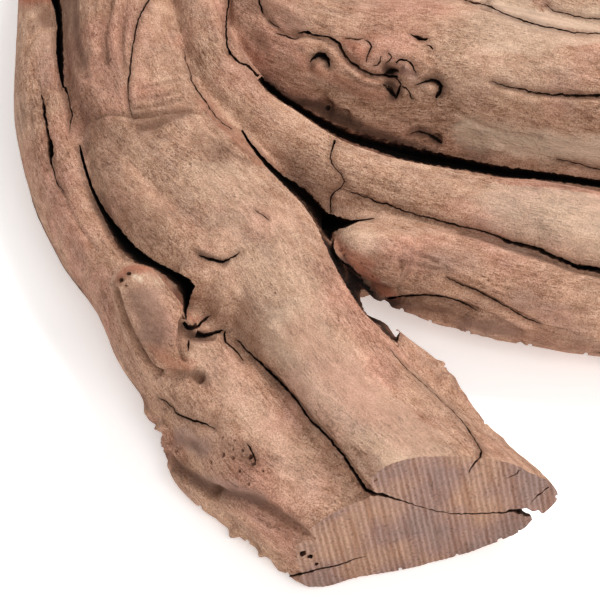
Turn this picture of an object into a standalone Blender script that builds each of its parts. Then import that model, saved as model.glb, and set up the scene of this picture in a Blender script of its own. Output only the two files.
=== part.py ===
"""A sandblasted manzanita branch, lying on a table as it is sold for display.

The branch is one piece of wood. It grew as a bundle of strands, and each strand here is one
tapering tube of oval section. The strands overlap, so the voxel remesh fuses them into one
solid, with a crease wherever two of them run side by side. A saw cut ends the thick foot, and
the table plane z = 0 flattens the places that the branch rests on.

The origin is the middle of the footprint, on the table. +Z is up, -Y is towards the viewer who
sees the sawn foot, and the strands are listed from their thin end to the foot, or from the
crown out to the tip. Stations are in millimetres; everything else is in metres.
"""

import math
from typing import NamedTuple

import bmesh
import bpy
import numpy as np
from mathutils import Vector

MM = 0.001

# The saw cut across the foot: a vertical plane, turned a little from the line of sight.
SAW_POINT = (-0.0728, -0.1990, 0.0)
SAW_TURN = math.radians(16.4)
SAW_BLOCK = (0.110, 0.110, 0.050)

# The block below the table plane, which is larger than the whole branch.
TABLE_BLOCK = (0.600, 0.600, 0.100)

# How finely a strand is drawn before the strands are fused.
RING_STEP = 4.0
RING_SIDES = 24
SQUARENESS = 2.3

# The fused solid: voxel size, rounds of smoothing, and the share of triangles that is kept.
VOXEL = 0.0022
SMOOTH_ROUNDS = 4
KEPT_SHARE = 0.09

WEATHERED_TAN = "#C49A80"
WOOD_ROUGHNESS = 0.85


class Station(NamedTuple):
    """One oval section of a strand: its centre, half axes and roll, in millimetres and degrees."""

    x: float
    y: float
    z: float
    half_width: float
    half_height: float
    roll: float = 0.0


# The trunk's strands, which end at the sawn foot.
MIDDLE_STRAND = [
    Station(13, 200, 4.5, 6.5, 6.5),
    Station(-9, 201, 10, 8, 8),
    Station(-39, 192, 22, 10, 10),
    Station(-65, 176, 31, 11, 12),
    Station(-93, 162, 33, 13, 13),
    Station(-115, 134, 38, 14.5, 15),
    Station(-136, 99, 39, 15, 17),
    Station(-149, 52, 35, 17, 19),
    Station(-162, 14, 31, 17, 19),
    Station(-159, -11, 30, 18, 20),
    Station(-153, -38, 29, 19.5, 20, 4),
    Station(-144, -65, 28, 20.5, 19, 2),
    Station(-129, -92, 28, 20.5, 18, -2),
    Station(-115, -115, 27, 19.5, 17, -8),
    Station(-106, -136, 27, 18.5, 16, -12),
    Station(-97, -154, 27, 18, 14.5, -16),
    Station(-89, -170, 27, 18.5, 12.5, -20),
    Station(-78, -185, 27, 20, 10.5, -24),
    Station(-68, -198, 26.5, 22, 9.5, -25),
    Station(-63, -208, 26.5, 22, 9.5, -25),
]
LEFT_STRAND = [
    Station(-198, 198, 3.5, 5.5, 5.5),
    Station(-203, 182, 7.5, 6.5, 6.5),
    Station(-202, 160, 16, 7.5, 7.5),
    Station(-193, 128, 26, 8.5, 8.5),
    Station(-184, 92, 30, 10, 11),
    Station(-182, 58, 29, 10, 13.5),
    Station(-187, 27, 26, 9, 14),
    Station(-184, -6, 23, 8.5, 14),
    Station(-179, -39, 21, 10, 14, -4),
    Station(-170, -68, 19.5, 12, 14, -6),
    Station(-159, -93, 18, 13.5, 13.5, -6),
    Station(-147, -115, 18, 14.5, 13.5, -4),
    Station(-138, -134, 17, 15.5, 13.5),
    Station(-128, -152, 17, 16, 13.5, 4),
    Station(-117, -169, 16.5, 16.5, 13.5, 8),
    Station(-107, -184, 16, 17, 13.5, 8),
    Station(-86, -203, 15.5, 18, 14, 6),
    Station(-81, -214, 15.5, 18, 14, 6),
]
SOLE = [
    Station(-121, -126, 11, 14, 10),
    Station(-105, -154, 9, 18, 10),
    Station(-87, -181, 8, 21, 9.5),
    Station(-71, -198, 8, 24, 9, 2),
    Station(-65, -209, 8, 24, 9, 2),
]
LOWER_LIP = [
    Station(-138, -160, 6, 4, 5),
    Station(-131, -173, 6, 6.5, 6),
    Station(-121, -185, 6, 8, 6),
    Station(-111, -196, 5.5, 8.5, 5.5),
    Station(-100, -207, 5, 8.5, 5),
    Station(-94, -218, 5, 8.5, 5),
]
RIGHT_FLANK = [
    Station(-99, -100, 14, 8, 12),
    Station(-92, -120, 14, 7.5, 11),
    Station(-84, -137, 14, 7.5, 10, -10),
    Station(-74, -153, 14, 8.5, 8.5, -20),
    Station(-64, -169, 14.5, 9, 7.5, -30),
    Station(-54, -193, 17.5, 10.5, 7, -42),
    Station(-48, -204, 17.5, 10.5, 7, -42),
]

# The side limb, which leaves the trunk towards +X and touches the table at its tip.
SIDE_UPPER = [
    Station(-91, 160, 34, 6, 7),
    Station(-111, 130, 40, 8, 9),
    Station(-129, 94, 41, 10, 12),
    Station(-137, 56, 38, 9, 13),
    Station(-135, 7, 36, 8, 15),
    Station(-134, -25, 36, 8.5, 15),
    Station(-127, -49, 35, 9.5, 15),
    Station(-114, -68, 33, 10.5, 14),
    Station(-95, -83, 31, 11, 13),
    Station(-77, -91, 30, 12, 12),
    Station(-56, -99, 30, 13, 12),
    Station(-34, -107, 30, 14, 12.5),
    Station(-13, -113, 29, 13, 12.5),
    Station(23, -120, 27, 11.5, 11.5),
    Station(53, -132, 25, 10, 10),
    Station(79, -134, 28, 8.5, 8.5),
    Station(103, -126, 33, 7, 7),
    Station(121, -124, 35, 6, 6),
]
SIDE_LOWER = [
    Station(-97, -89, 18, 9, 11),
    Station(-84, -105, 20, 11, 13),
    Station(-70, -110, 21, 12.5, 14),
    Station(-51, -116, 20, 13.5, 14),
    Station(-29, -122, 19, 13.5, 13.5),
    Station(-8, -126, 18, 12.5, 13),
    Station(45, -140, 17, 11.5, 11.5),
    Station(77, -155, 14, 10, 10),
    Station(109, -162, 9, 9, 9),
    Station(139, -176, 6, 7, 7),
    Station(163, -182, 5, 5, 5),
]
SIDE_STUB = [
    Station(-77, -117, 29, 7, 7.5),
    Station(-86, -116, 32, 7, 7.5),
    Station(-93, -117, 35, 6, 6.5),
]

# The upper limb: a thick front strand, a thinner one behind it, and the twig of its fork.
UPPER_FRONT = [
    Station(-101, 146, 34, 7, 8),
    Station(-119, 114, 37, 10, 11),
    Station(-131, 80, 37, 12, 14),
    Station(-127, 44, 36, 14, 16),
    Station(-121, -7, 36, 15, 18),
    Station(-106, -28, 35, 20, 20),
    Station(-85, -39, 34, 22, 21),
    Station(-61, -43, 33, 22.5, 21),
    Station(-38, -48, 33, 22, 21),
    Station(-13, -56, 33, 20.5, 20),
    Station(27, -64, 37, 18, 18),
    Station(59, -56, 43, 15.5, 16),
    Station(91, -54, 46, 13.5, 13.5),
    Station(121, -40, 43, 12, 12),
    Station(153, -18, 42, 10, 10.5),
    Station(183, -12, 46, 8.5, 8.5),
    Station(207, -16, 50, 7, 7),
]
UPPER_BACK = [
    Station(-123, 86, 36, 9, 12),
    Station(-119, 50, 36, 12, 15),
    Station(-96, 0, 38, 15, 17),
    Station(-69, -1, 38, 15.5, 17),
    Station(-39, -13, 38, 14, 16),
    Station(-10, -25, 38, 13, 15),
    Station(27, -40, 42, 12.5, 13.5),
    Station(55, -32, 49, 11, 11.5),
    Station(79, -16, 58, 9.5, 9.5),
    Station(95, 8, 68, 8, 8),
    Station(117, 28, 74, 7, 7),
    Station(135, 38, 84, 5.5, 5.5),
]
UPPER_TWIG = [
    Station(109, -48, 45, 7, 7),
    Station(133, -54, 52, 6.5, 6.5),
    Station(157, -66, 54, 5.5, 5.5),
    Station(177, -70, 60, 4.5, 4.5),
]

# Wood that joins the limbs low down, where they leave the trunk.
CROTCH = [
    Station(-105, -68, 14, 10, 12),
    Station(-91, -97, 12, 8, 10),
    Station(-81, -107, 10, 6, 7),
]
WEB = [
    Station(-128, -10, 18, 12, 12),
    Station(-99, -39, 17, 12, 10),
    Station(-67, -57, 17, 11, 10),
    Station(-36, -67, 18, 11, 10),
    Station(-8, -74, 18, 10, 9),
    Station(25, -92, 20, 9, 8),
    Station(55, -92, 22, 6, 6),
]

# Broken side shoots: the pointed spur and the knob near the foot, and two on the trunk's back.
SPUR = [
    Station(-133, -148, 24, 9, 9),
    Station(-139, -145, 32, 8.5, 8.5),
    Station(-143, -141, 38, 7.5, 7.5),
    Station(-147, -139, 42, 5.5, 6),
]
KNOB = [
    Station(-140, -153, 10, 4, 4),
    Station(-144, -154, 8, 3, 3.5),
]
TRUNK_TWIG = [
    Station(-121, 126, 40, 8.5, 8.5),
    Station(-128, 150, 52, 8, 8),
    Station(-121, 174, 62, 7, 7),
    Station(-130, 194, 76, 6, 6),
    Station(-134, 206, 88, 5, 5),
]
TRUNK_STUB = [
    Station(-131, 112, 40, 8, 8),
    Station(-146, 130, 44, 7, 7),
    Station(-152, 140, 48, 5.5, 5.5),
]

STRANDS = (
    MIDDLE_STRAND,
    LEFT_STRAND,
    SOLE,
    LOWER_LIP,
    RIGHT_FLANK,
    SIDE_UPPER,
    SIDE_LOWER,
    SIDE_STUB,
    UPPER_FRONT,
    UPPER_BACK,
    UPPER_TWIG,
    CROTCH,
    WEB,
    SPUR,
    KNOB,
    TRUNK_TWIG,
    TRUNK_STUB,
)


def linear(hex_colour):
    """The linear RGBA of an sRGB hex colour."""
    channels = [int(hex_colour[i : i + 2], 16) / 255 for i in (1, 3, 5)]
    return [c / 12.92 if c <= 0.04045 else ((c + 0.055) / 1.055) ** 2.4 for c in channels] + [1.0]


def wood_material():
    """Bare weathered wood, dry and matt."""
    material = bpy.data.materials.new("sandblasted_manzanita")
    material.use_nodes = True
    shader = material.node_tree.nodes["Principled BSDF"]
    shader.inputs["Base Color"].default_value = linear(WEATHERED_TAN)
    shader.inputs["Roughness"].default_value = WOOD_ROUGHNESS
    shader.inputs["Metallic"].default_value = 0.0
    return material


def smooth_rows(stations):
    """Rows along a strand, RING_STEP apart: a cubic through every station, whose slope at a
    station is the line between its two neighbours."""
    rows = np.array(stations, float)
    spans = np.linalg.norm(np.diff(rows[:, :3], axis=0), axis=1)
    along = np.concatenate([[0.0], np.cumsum(spans)])
    ahead, behind = np.roll(rows, -1, axis=0), np.roll(rows, 1, axis=0)
    slope = np.empty_like(rows)
    slope[1:-1] = (ahead - behind)[1:-1] / (along[2:] - along[:-2])[:, None]
    slope[0] = (rows[1] - rows[0]) / spans[0]
    slope[-1] = (rows[-1] - rows[-2]) / spans[-1]
    at = np.linspace(0.0, along[-1], max(4, int(along[-1] / RING_STEP) + 1))
    i = np.clip(np.searchsorted(along, at, side="right") - 1, 0, len(spans) - 1)
    span = spans[i][:, None]
    t = (at - along[i])[:, None] / span
    return (
        (2 * t**3 - 3 * t**2 + 1) * rows[i]
        + (t**3 - 2 * t**2 + t) * span * slope[i]
        + (3 * t**2 - 2 * t**3) * rows[i + 1]
        + (t**3 - t**2) * span * slope[i + 1]
    )


def add_strand(bm, stations):
    """Adds a strand to bm: one ring of vertices for each row, joined by quads, with a fan at
    each end. A ring is a superellipse, a little squarer than an ellipse."""
    rows = smooth_rows(stations)
    centre = rows[:, :3]
    tangent = np.gradient(centre, axis=0)
    tangent /= np.linalg.norm(tangent, axis=1)[:, None]
    side = np.cross([0.0, 0.0, 1.0], tangent)
    side /= np.linalg.norm(side, axis=1)[:, None]
    top = np.cross(tangent, side)
    roll = np.radians(rows[:, 5:6])
    wide = side * np.cos(roll) + top * np.sin(roll)
    high = top * np.cos(roll) - side * np.sin(roll)
    angle = np.linspace(0.0, 2 * math.pi, RING_SIDES, endpoint=False)
    across = np.sign(np.cos(angle)) * np.abs(np.cos(angle)) ** (2 / SQUARENESS)
    upward = np.sign(np.sin(angle)) * np.abs(np.sin(angle)) ** (2 / SQUARENESS)
    points = (
        centre[:, None]
        + rows[:, 3, None, None] * across[None, :, None] * wide[:, None]
        + rows[:, 4, None, None] * upward[None, :, None] * high[:, None]
    ) * MM

    rings = [[bm.verts.new(point) for point in ring] for ring in points]
    for ring, following in zip(rings, rings[1:]):
        for k in range(RING_SIDES):
            j = (k + 1) % RING_SIDES
            bm.faces.new((ring[k], ring[j], following[j], following[k]))
    reach = rows[0, 3:5].min() * tangent[0], rows[-1, 3:5].min() * tangent[-1]
    start_tip = bm.verts.new((centre[0] - 0.6 * reach[0]) * MM)
    end_tip = bm.verts.new((centre[-1] + 0.6 * reach[1]) * MM)
    for k in range(RING_SIDES):
        j = (k + 1) % RING_SIDES
        bm.faces.new((start_tip, rings[0][j], rings[0][k]))
        bm.faces.new((end_tip, rings[-1][k], rings[-1][j]))


def add_cutter(name, size, location, direction):
    """A hidden block whose face away from direction passes through location."""
    bpy.ops.mesh.primitive_cube_add(size=1.0)
    block = bpy.context.object
    block.name = name
    outward = Vector(direction).normalized()
    block.scale = size
    block.rotation_mode = "QUATERNION"
    block.rotation_quaternion = outward.to_track_quat("Z", "Y")
    block.location = Vector(location) + outward * size[2] / 2
    block.hide_render = True
    block.display_type = "WIRE"
    return block


def cut_away(wood, block):
    """Takes the block's volume off the wood."""
    boolean = wood.modifiers.new(f"cut_{block.name}", "BOOLEAN")
    boolean.operation = "DIFFERENCE"
    boolean.object = block


def build_branch():
    """The whole branch: strands fused, thinned to a light mesh, then sawn and set on the table."""
    bm = bmesh.new()
    for stations in STRANDS:
        add_strand(bm, stations)
    mesh = bpy.data.meshes.new("manzanita_branch")
    bm.to_mesh(mesh)
    bm.free()
    wood = bpy.data.objects.new("manzanita_branch", mesh)
    bpy.context.scene.collection.objects.link(wood)
    mesh.materials.append(wood_material())

    fuse = wood.modifiers.new("fuse", "REMESH")
    fuse.mode = "VOXEL"
    fuse.voxel_size = VOXEL
    relax = wood.modifiers.new("relax", "SMOOTH")
    relax.factor = 0.5
    relax.iterations = SMOOTH_ROUNDS
    thin = wood.modifiers.new("thin", "DECIMATE")
    thin.ratio = KEPT_SHARE

    saw_direction = (math.sin(SAW_TURN), -math.cos(SAW_TURN), 0.0)
    cut_away(wood, add_cutter("saw_cut", SAW_BLOCK, SAW_POINT, saw_direction))
    cut_away(wood, add_cutter("table", TABLE_BLOCK, (0.0, 0.0, 0.0), (0.0, 0.0, -1.0)))
    return wood


for old in list(bpy.data.objects):
    bpy.data.objects.remove(old)
build_branch()
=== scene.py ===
"""The looks of a sandblasted manzanita branch: one piece of weathered wood on a pale floor.

The wood is made in four steps. Its strands are lofted and fused, as in the CAD. Soft relief moves
the fused surface: swells, dents, furrows and the slow waves of the grain. Then the mesh is
thinned, sawn at the foot and flattened where it rests. Last its gaps, cracks, chips and worm
holes are cut out with thin blades and beads, and the slivers they leave are merged.

Features that the photograph shows are placed by its pixels, which a ray from the camera carries
onto the wood. Stations, depths and radii are in millimetres; meshes are in metres.
"""

import math
from typing import NamedTuple

import bmesh
import bpy
import numpy as np
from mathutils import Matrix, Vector
from mathutils.bvhtree import BVHTree
from mathutils.kdtree import KDTree


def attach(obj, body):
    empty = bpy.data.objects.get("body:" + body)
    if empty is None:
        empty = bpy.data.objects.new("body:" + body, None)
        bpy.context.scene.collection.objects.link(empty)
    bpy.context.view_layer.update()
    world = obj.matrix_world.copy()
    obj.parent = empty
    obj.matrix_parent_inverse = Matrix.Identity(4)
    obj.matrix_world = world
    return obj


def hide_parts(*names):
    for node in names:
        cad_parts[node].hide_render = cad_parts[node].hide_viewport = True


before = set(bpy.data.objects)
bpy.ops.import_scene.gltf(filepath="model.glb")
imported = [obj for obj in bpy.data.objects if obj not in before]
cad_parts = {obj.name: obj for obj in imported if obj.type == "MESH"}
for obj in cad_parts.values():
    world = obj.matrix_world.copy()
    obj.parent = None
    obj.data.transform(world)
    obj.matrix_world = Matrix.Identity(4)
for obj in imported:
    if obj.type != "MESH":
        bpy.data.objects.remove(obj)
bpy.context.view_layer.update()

MM = 0.001

# The camera: how steeply it looks down, how far it stands, and how wide the frame is there.
VIEW_ELEVATION = math.radians(42.0)
VIEW_DISTANCE = 0.600
FRAME_WIDTH = 0.160
FRAME_PIXELS = 600
VIEW_TARGET = np.array([-0.105, -0.1267, 0.024])
VIEW_BACK = np.array([0.0, -math.cos(VIEW_ELEVATION), math.sin(VIEW_ELEVATION)])
VIEW_UP = np.array([0.0, math.sin(VIEW_ELEVATION), math.cos(VIEW_ELEVATION)])
VIEW_RIGHT = np.array([1.0, 0.0, 0.0])
VIEW_POINT = VIEW_TARGET + VIEW_DISTANCE * VIEW_BACK
PIXEL = FRAME_WIDTH / FRAME_PIXELS
SENSOR_WIDTH = 36.0

# The saw cut across the foot: a vertical plane, turned a little from the line of sight.
SAW_POINT = np.array([-0.0728, -0.1990, 0.0])
SAW_TURN = math.radians(16.4)
SAW_OUTWARD = np.array([math.sin(SAW_TURN), -math.cos(SAW_TURN), 0.0])
SAW_ACROSS = np.array([math.cos(SAW_TURN), math.sin(SAW_TURN), 0.0])
KERF_SPACING = 1.4
KERF_DEPTH = 0.06
KERF_SLANT = 0.19

# How far apart the wave texture's bands are at scale 1.
WAVE_BAND = 0.314159

# How finely the strands are drawn and fused, and how many triangles each side, and then the
# finished piece, keeps.
RING_STEP = 2.0
RING_SIDES = 40
SQUARENESS = 2.3
VOXEL = 0.0007
SMOOTH_ROUNDS = 14
SEEN_TRIANGLES = 96_000
HIDDEN_TRIANGLES = 38_000
ALL_TRIANGLES = 190_000

# How far past the photo's edges, in pixels, features reach and its finer relief goes on.
SEEN_MARGIN = 120
PHOTO_MARGIN = 15


class Station(NamedTuple):
    """One oval section of a strand: its centre, half axes and roll, in millimetres and degrees."""

    x: float
    y: float
    z: float
    half_width: float
    half_height: float
    roll: float = 0.0


def strand(*rows):
    """A strand: a list of stations from rows of numbers."""
    return [Station(*row) for row in rows]


# The trunk's strands, which end at the sawn foot.
MIDDLE_STRAND = strand(
    (13, 200, 4.5, 6.5, 6.5), (-9, 201, 10, 8, 8), (-39, 192, 22, 10, 10), (-65, 176, 31, 11, 12),
    (-93, 162, 33, 13, 13), (-115, 134, 38, 14.5, 15), (-136, 99, 39, 15, 17), (-149, 52, 35, 17, 19),
    (-162, 14, 31, 17, 19), (-159, -11, 30, 18, 20), (-153, -38, 29, 19.5, 20, 4),
    (-144, -65, 28, 20.5, 19, 2), (-129, -92, 28, 20.5, 18, -2), (-115, -115, 27, 19.5, 17, -8),
    (-106, -136, 27, 18.5, 16, -12), (-97, -154, 27, 18, 14.5, -16), (-89, -170, 27, 18.5, 12.5, -20),
    (-78, -185, 27.3, 20.5, 10.7, -21), (-68, -198, 27, 22, 10, -21), (-63, -208, 27, 22, 10, -21),
)
LEFT_STRAND = strand(
    (-198, 198, 3.5, 5.5, 5.5), (-203, 182, 7.5, 6.5, 6.5), (-202, 160, 16, 7.5, 7.5),
    (-193, 128, 26, 8.5, 8.5), (-184, 92, 30, 10, 11), (-182, 58, 29, 10, 13.5), (-184, 27, 26, 9, 14),
    (-183.1, -6, 23, 8.7, 14), (-179.3, -39, 21, 10.2, 14, -4), (-171, -68, 19.5, 12, 14, -6),
    (-160, -93, 18, 13.5, 13.5, -6), (-147, -115, 18, 15, 13.5, -4), (-138.4, -134, 17, 15.9, 13.5),
    (-128, -152, 17, 16, 13.5, 4), (-117, -169, 16.5, 16.5, 13.5, 8), (-107, -184, 16, 17, 13.5, 8),
    (-86, -203, 15.5, 18, 14, 6), (-81, -214, 15.5, 18, 14, 6),
)
SOLE = strand(
    (-170, -20, 10, 8, 7), (-165, -55, 9, 10, 8), (-152, -85, 9, 11, 8), (-138, -107, 10, 12, 9),
    (-121, -126, 11, 14, 10), (-105, -154, 9, 18, 10), (-87, -181, 8.8, 21, 9),
    (-71, -198, 9, 24, 8.4, 3), (-65, -209, 9.3, 24, 8.3, 2),
)
LOWER_LIP = strand(
    (-138, -160, 6, 4, 5), (-131, -173, 6, 6.5, 6), (-118.8, -184.8, 6, 6.6, 6),
    (-108.2, -195.4, 5.6, 6.9, 5.5), (-97.5, -206, 5.6, 7.5, 5), (-91.5, -217, 5, 7.5, 5),
)
RIGHT_FLANK = strand(
    (-99, -100, 14, 8, 12), (-93.2, -120, 14, 7.5, 11), (-85.2, -137, 14, 7.4, 10, -10),
    (-73.2, -152.4, 14, 8.8, 8.5, -20), (-64.6, -170.2, 15, 8.5, 7.6, -28),
    (-51.4, -192, 18.3, 11.2, 7, -38), (-45.5, -203, 18, 11.4, 7, -38),
)

# The side limb, which leaves the trunk towards +X and touches the floor at its tip.
SIDE_UPPER = strand(
    (-91, 160, 34, 6, 7), (-111, 130, 40, 8, 9), (-129, 94, 41, 10, 12), (-137, 56, 38, 9, 13),
    (-135, 7, 36, 8, 15), (-134, -25, 36, 8.5, 15), (-127, -49, 35, 9.5, 15), (-114, -68, 33, 10.5, 14),
    (-95, -83, 31, 11, 13), (-77, -91, 30, 12, 12), (-56, -99, 29.5, 13, 12.1), (-34, -107, 29.3, 14, 13),
    (-13, -113, 29, 13, 12.5), (23, -120, 27, 11.5, 11.5), (53, -132, 25, 10, 10),
    (79, -134, 28, 8.5, 8.5), (103, -126, 33, 7, 7), (121, -124, 35, 6, 6),
)
SIDE_LOWER = strand(
    (-97, -89, 19, 9, 10), (-84, -104, 22, 10.5, 12), (-70, -110, 21.5, 12.5, 13.5),
    (-51, -116, 20, 13.5, 14), (-29, -122, 19, 13.5, 13.5), (-8, -126, 18, 12.5, 13),
    (45, -140, 17, 11.5, 11.5), (77, -155, 14, 10, 10), (109, -162, 9, 9, 9), (139, -176, 6, 7, 7),
    (163, -182, 5, 5, 5),
)
SIDE_STUB = strand((-77, -117, 29, 7, 7.5), (-86, -116, 32, 7, 7.5), (-93, -117, 35, 6, 6.5))

# The upper limb: a thick front strand, a thinner one behind it, and the twig of its fork.
UPPER_FRONT = strand(
    (-101, 146, 34, 7, 8), (-119, 114, 37, 10, 11), (-131, 80, 37, 12, 14), (-127, 44, 36, 14, 16),
    (-121, -7, 36, 15, 18), (-106, -28, 35, 20, 20), (-85, -39, 34, 22, 21), (-61, -41.5, 34, 22.5, 22.5),
    (-38, -47.5, 33.5, 22, 22), (-13, -56, 33.6, 20.5, 21), (27, -64, 37, 18, 18),
    (59, -56, 43, 15.5, 16), (91, -54, 46, 13.5, 13.5), (121, -40, 43, 12, 12), (153, -18, 42, 10, 10.5),
    (183, -12, 46, 8.5, 8.5), (207, -16, 50, 7, 7),
)
UPPER_BACK = strand(
    (-123, 86, 36, 9, 12), (-119, 50, 36, 12, 15), (-96, 0, 38, 15, 17), (-69, -6, 39, 15.5, 17),
    (-39, -19, 40, 14, 16), (-10, -32, 40, 13, 15), (27, -45, 44, 12.5, 13.5), (55, -32, 49, 11, 11.5),
    (79, -16, 58, 9.5, 9.5), (95, 8, 68, 8, 8), (117, 28, 74, 7, 7), (135, 38, 84, 5.5, 5.5),
)
UPPER_TWIG = strand(
    (109, -48, 45, 7, 7), (133, -54, 52, 6.5, 6.5), (157, -66, 54, 5.5, 5.5), (177, -70, 60, 4.5, 4.5),
)

# Wood that joins the limbs low down, where they leave the trunk.
CROTCH = strand((-105, -68, 14, 10, 12), (-92, -95, 12, 7.5, 9), (-85, -103, 9, 5, 6))
WEB = strand(
    (-128, -10, 18, 12, 12), (-99, -39, 17, 12, 10), (-67, -57, 17, 11, 10), (-36, -67, 18, 11, 10),
    (-8, -74, 18, 10, 9), (25, -92, 20, 9, 8), (55, -92, 22, 6, 6),
)

# Broken side shoots: the pointed spur and the knob near the foot, and two on the trunk's back.
SPUR = strand(
    (-134, -152, 22, 10, 10), (-140, -149, 31, 8.6, 9), (-145, -145, 39, 7.2, 7.6),
    (-149, -141, 46, 5.4, 5.8),
)
KNOB = strand((-140, -153, 10, 4, 4), (-144, -154, 8, 3, 3.5))
TRUNK_TWIG = strand(
    (-121, 126, 40, 8.5, 8.5), (-128, 150, 52, 8, 8), (-121, 174, 62, 7, 7), (-130, 194, 76, 6, 6),
    (-134, 206, 88, 5, 5),
)
TRUNK_STUB = strand((-131, 112, 40, 8, 8), (-146, 130, 44, 7, 7), (-152, 140, 48, 5.5, 5.5))

# The middle strand's rim, which overhangs the gap to the left strand, and a splinter on it.
LEFT_RIM = strand(
    (-159, -64, 26, 9, 13), (-157, -74, 26, 9, 13), (-154.5, -84, 26, 9, 13), (-151, -93, 27, 9, 13),
    (-146, -102, 27, 9, 13), (-141, -109.5, 28, 9, 13), (-134.5, -117, 28, 9, 13),
    (-126, -126, 28, 9, 13), (-120, -139, 27, 8, 12),
)
SPLINTER = strand((-126, -122, 33, 8, 7), (-130, -128, 34, 7, 6), (-132.5, -133, 34, 5.5, 5))

# Strands whose own length the grain follows, and the others, which share a neighbour's grain.
GRAIN_STRANDS = (
    MIDDLE_STRAND, LEFT_STRAND, SIDE_UPPER, SIDE_LOWER, SIDE_STUB, UPPER_FRONT, UPPER_BACK, UPPER_TWIG,
    SPUR, TRUNK_TWIG, TRUNK_STUB,
)
FILLING_STRANDS = (SOLE, LOWER_LIP, RIGHT_FLANK, LEFT_RIM, SPLINTER, CROTCH, WEB, KNOB)


class Gap(NamedTuple):
    """A wide gap in the photo: each row has the pixels u, v of one edge and of the other. Its
    depth is in millimetres, and lean says under which edge it is deepest: -1 first, 1 second."""

    depth: float
    lean: float
    edges: list


GAPS = {
    "left_and_middle_top": Gap(13, -0.6, [
        (49, -14, 60, -14), (51, 0, 60, 0), (55, 12, 62, 12), (57, 26, 62.5, 26), (56, 44, 63, 44),
        (56.5, 58, 63.5, 58), (58, 68, 63.5, 68), (60, 79, 64, 79), (62.5, 88, 64, 88),
    ]),
    "left_and_middle": Gap(12, 0.8, [
        (79, 145, 80.5, 145), (80.5, 156, 83, 155), (84.5, 171, 87.5, 170), (90, 188, 93, 187),
        (97, 204, 100.5, 202), (104, 218, 109, 215.5), (111.5, 234, 122, 231), (118.5, 248, 136, 247),
        (133, 262, 152, 259.5), (152, 268, 173, 270), (167, 277, 190, 279.5), (176.5, 286, 195, 286.5),
        (182, 295, 191, 295.5), (183.5, 304, 189, 304), (182.5, 311, 187, 312), (182, 319, 186.5, 320),
    ]),
    "middle_and_side": Gap(12, 0.3, [
        (241, 131, 242.5, 129.5), (248, 143, 250, 141), (258, 157, 261, 154.5), (268, 169, 272, 165.5),
        (280, 181, 285, 176.5), (291, 192, 298, 184), (303, 204, 312.5, 196), (312, 217, 323.5, 207.5),
        (319, 229, 334, 222.5), (323, 240, 334, 237), (327, 249, 334, 248), (332, 260, 339, 258),
        (339, 273, 353, 267), (346, 284, 363, 279), (352, 294, 371, 290), (358, 303, 375, 299),
        (364, 311, 384, 306), (371.5, 319, 392, 313), (380, 327.5, 397, 322), (388, 336, 400, 331.5),
        (393.5, 342, 399, 340), (397.5, 347, 398.5, 346.5),
    ]),
    "above_stub": Gap(9, 0.2, [
        (322, 214, 322, 230), (333, 215, 333, 232), (341, 217, 343, 228), (350, 220, 352, 224.5),
        (359, 219.5, 359, 221.5), (374, 218, 374, 219),
    ]),
    "side_and_upper": Gap(13, 0.4, [
        (262, 76, 257, 80), (272, 85, 267, 91), (283, 94.5, 279, 100), (293, 101, 289.5, 106.5),
        (304, 107.5, 299, 112.5), (320, 116.5, 313, 122.5), (336, 124.5, 328, 132),
        (350, 130, 341, 139.5), (365, 134, 354, 145), (381, 138.5, 368, 149.5), (397, 142, 388, 156),
        (417, 148, 412, 161.5), (440, 153, 440, 166.5), (473, 160.5, 472, 171.5), (507, 167, 503, 177.5),
        (540, 171, 538, 179.5), (575, 176, 571, 183.5), (612, 182, 612, 190),
    ]),
}


class Crack(NamedTuple):
    """A crack along pixels of the photo: each row is u, v and its width in pixels. Its depth and
    the height by which the wood on its lower side is sunk are in millimetres."""

    depth: float
    step: float
    rows: list


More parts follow.
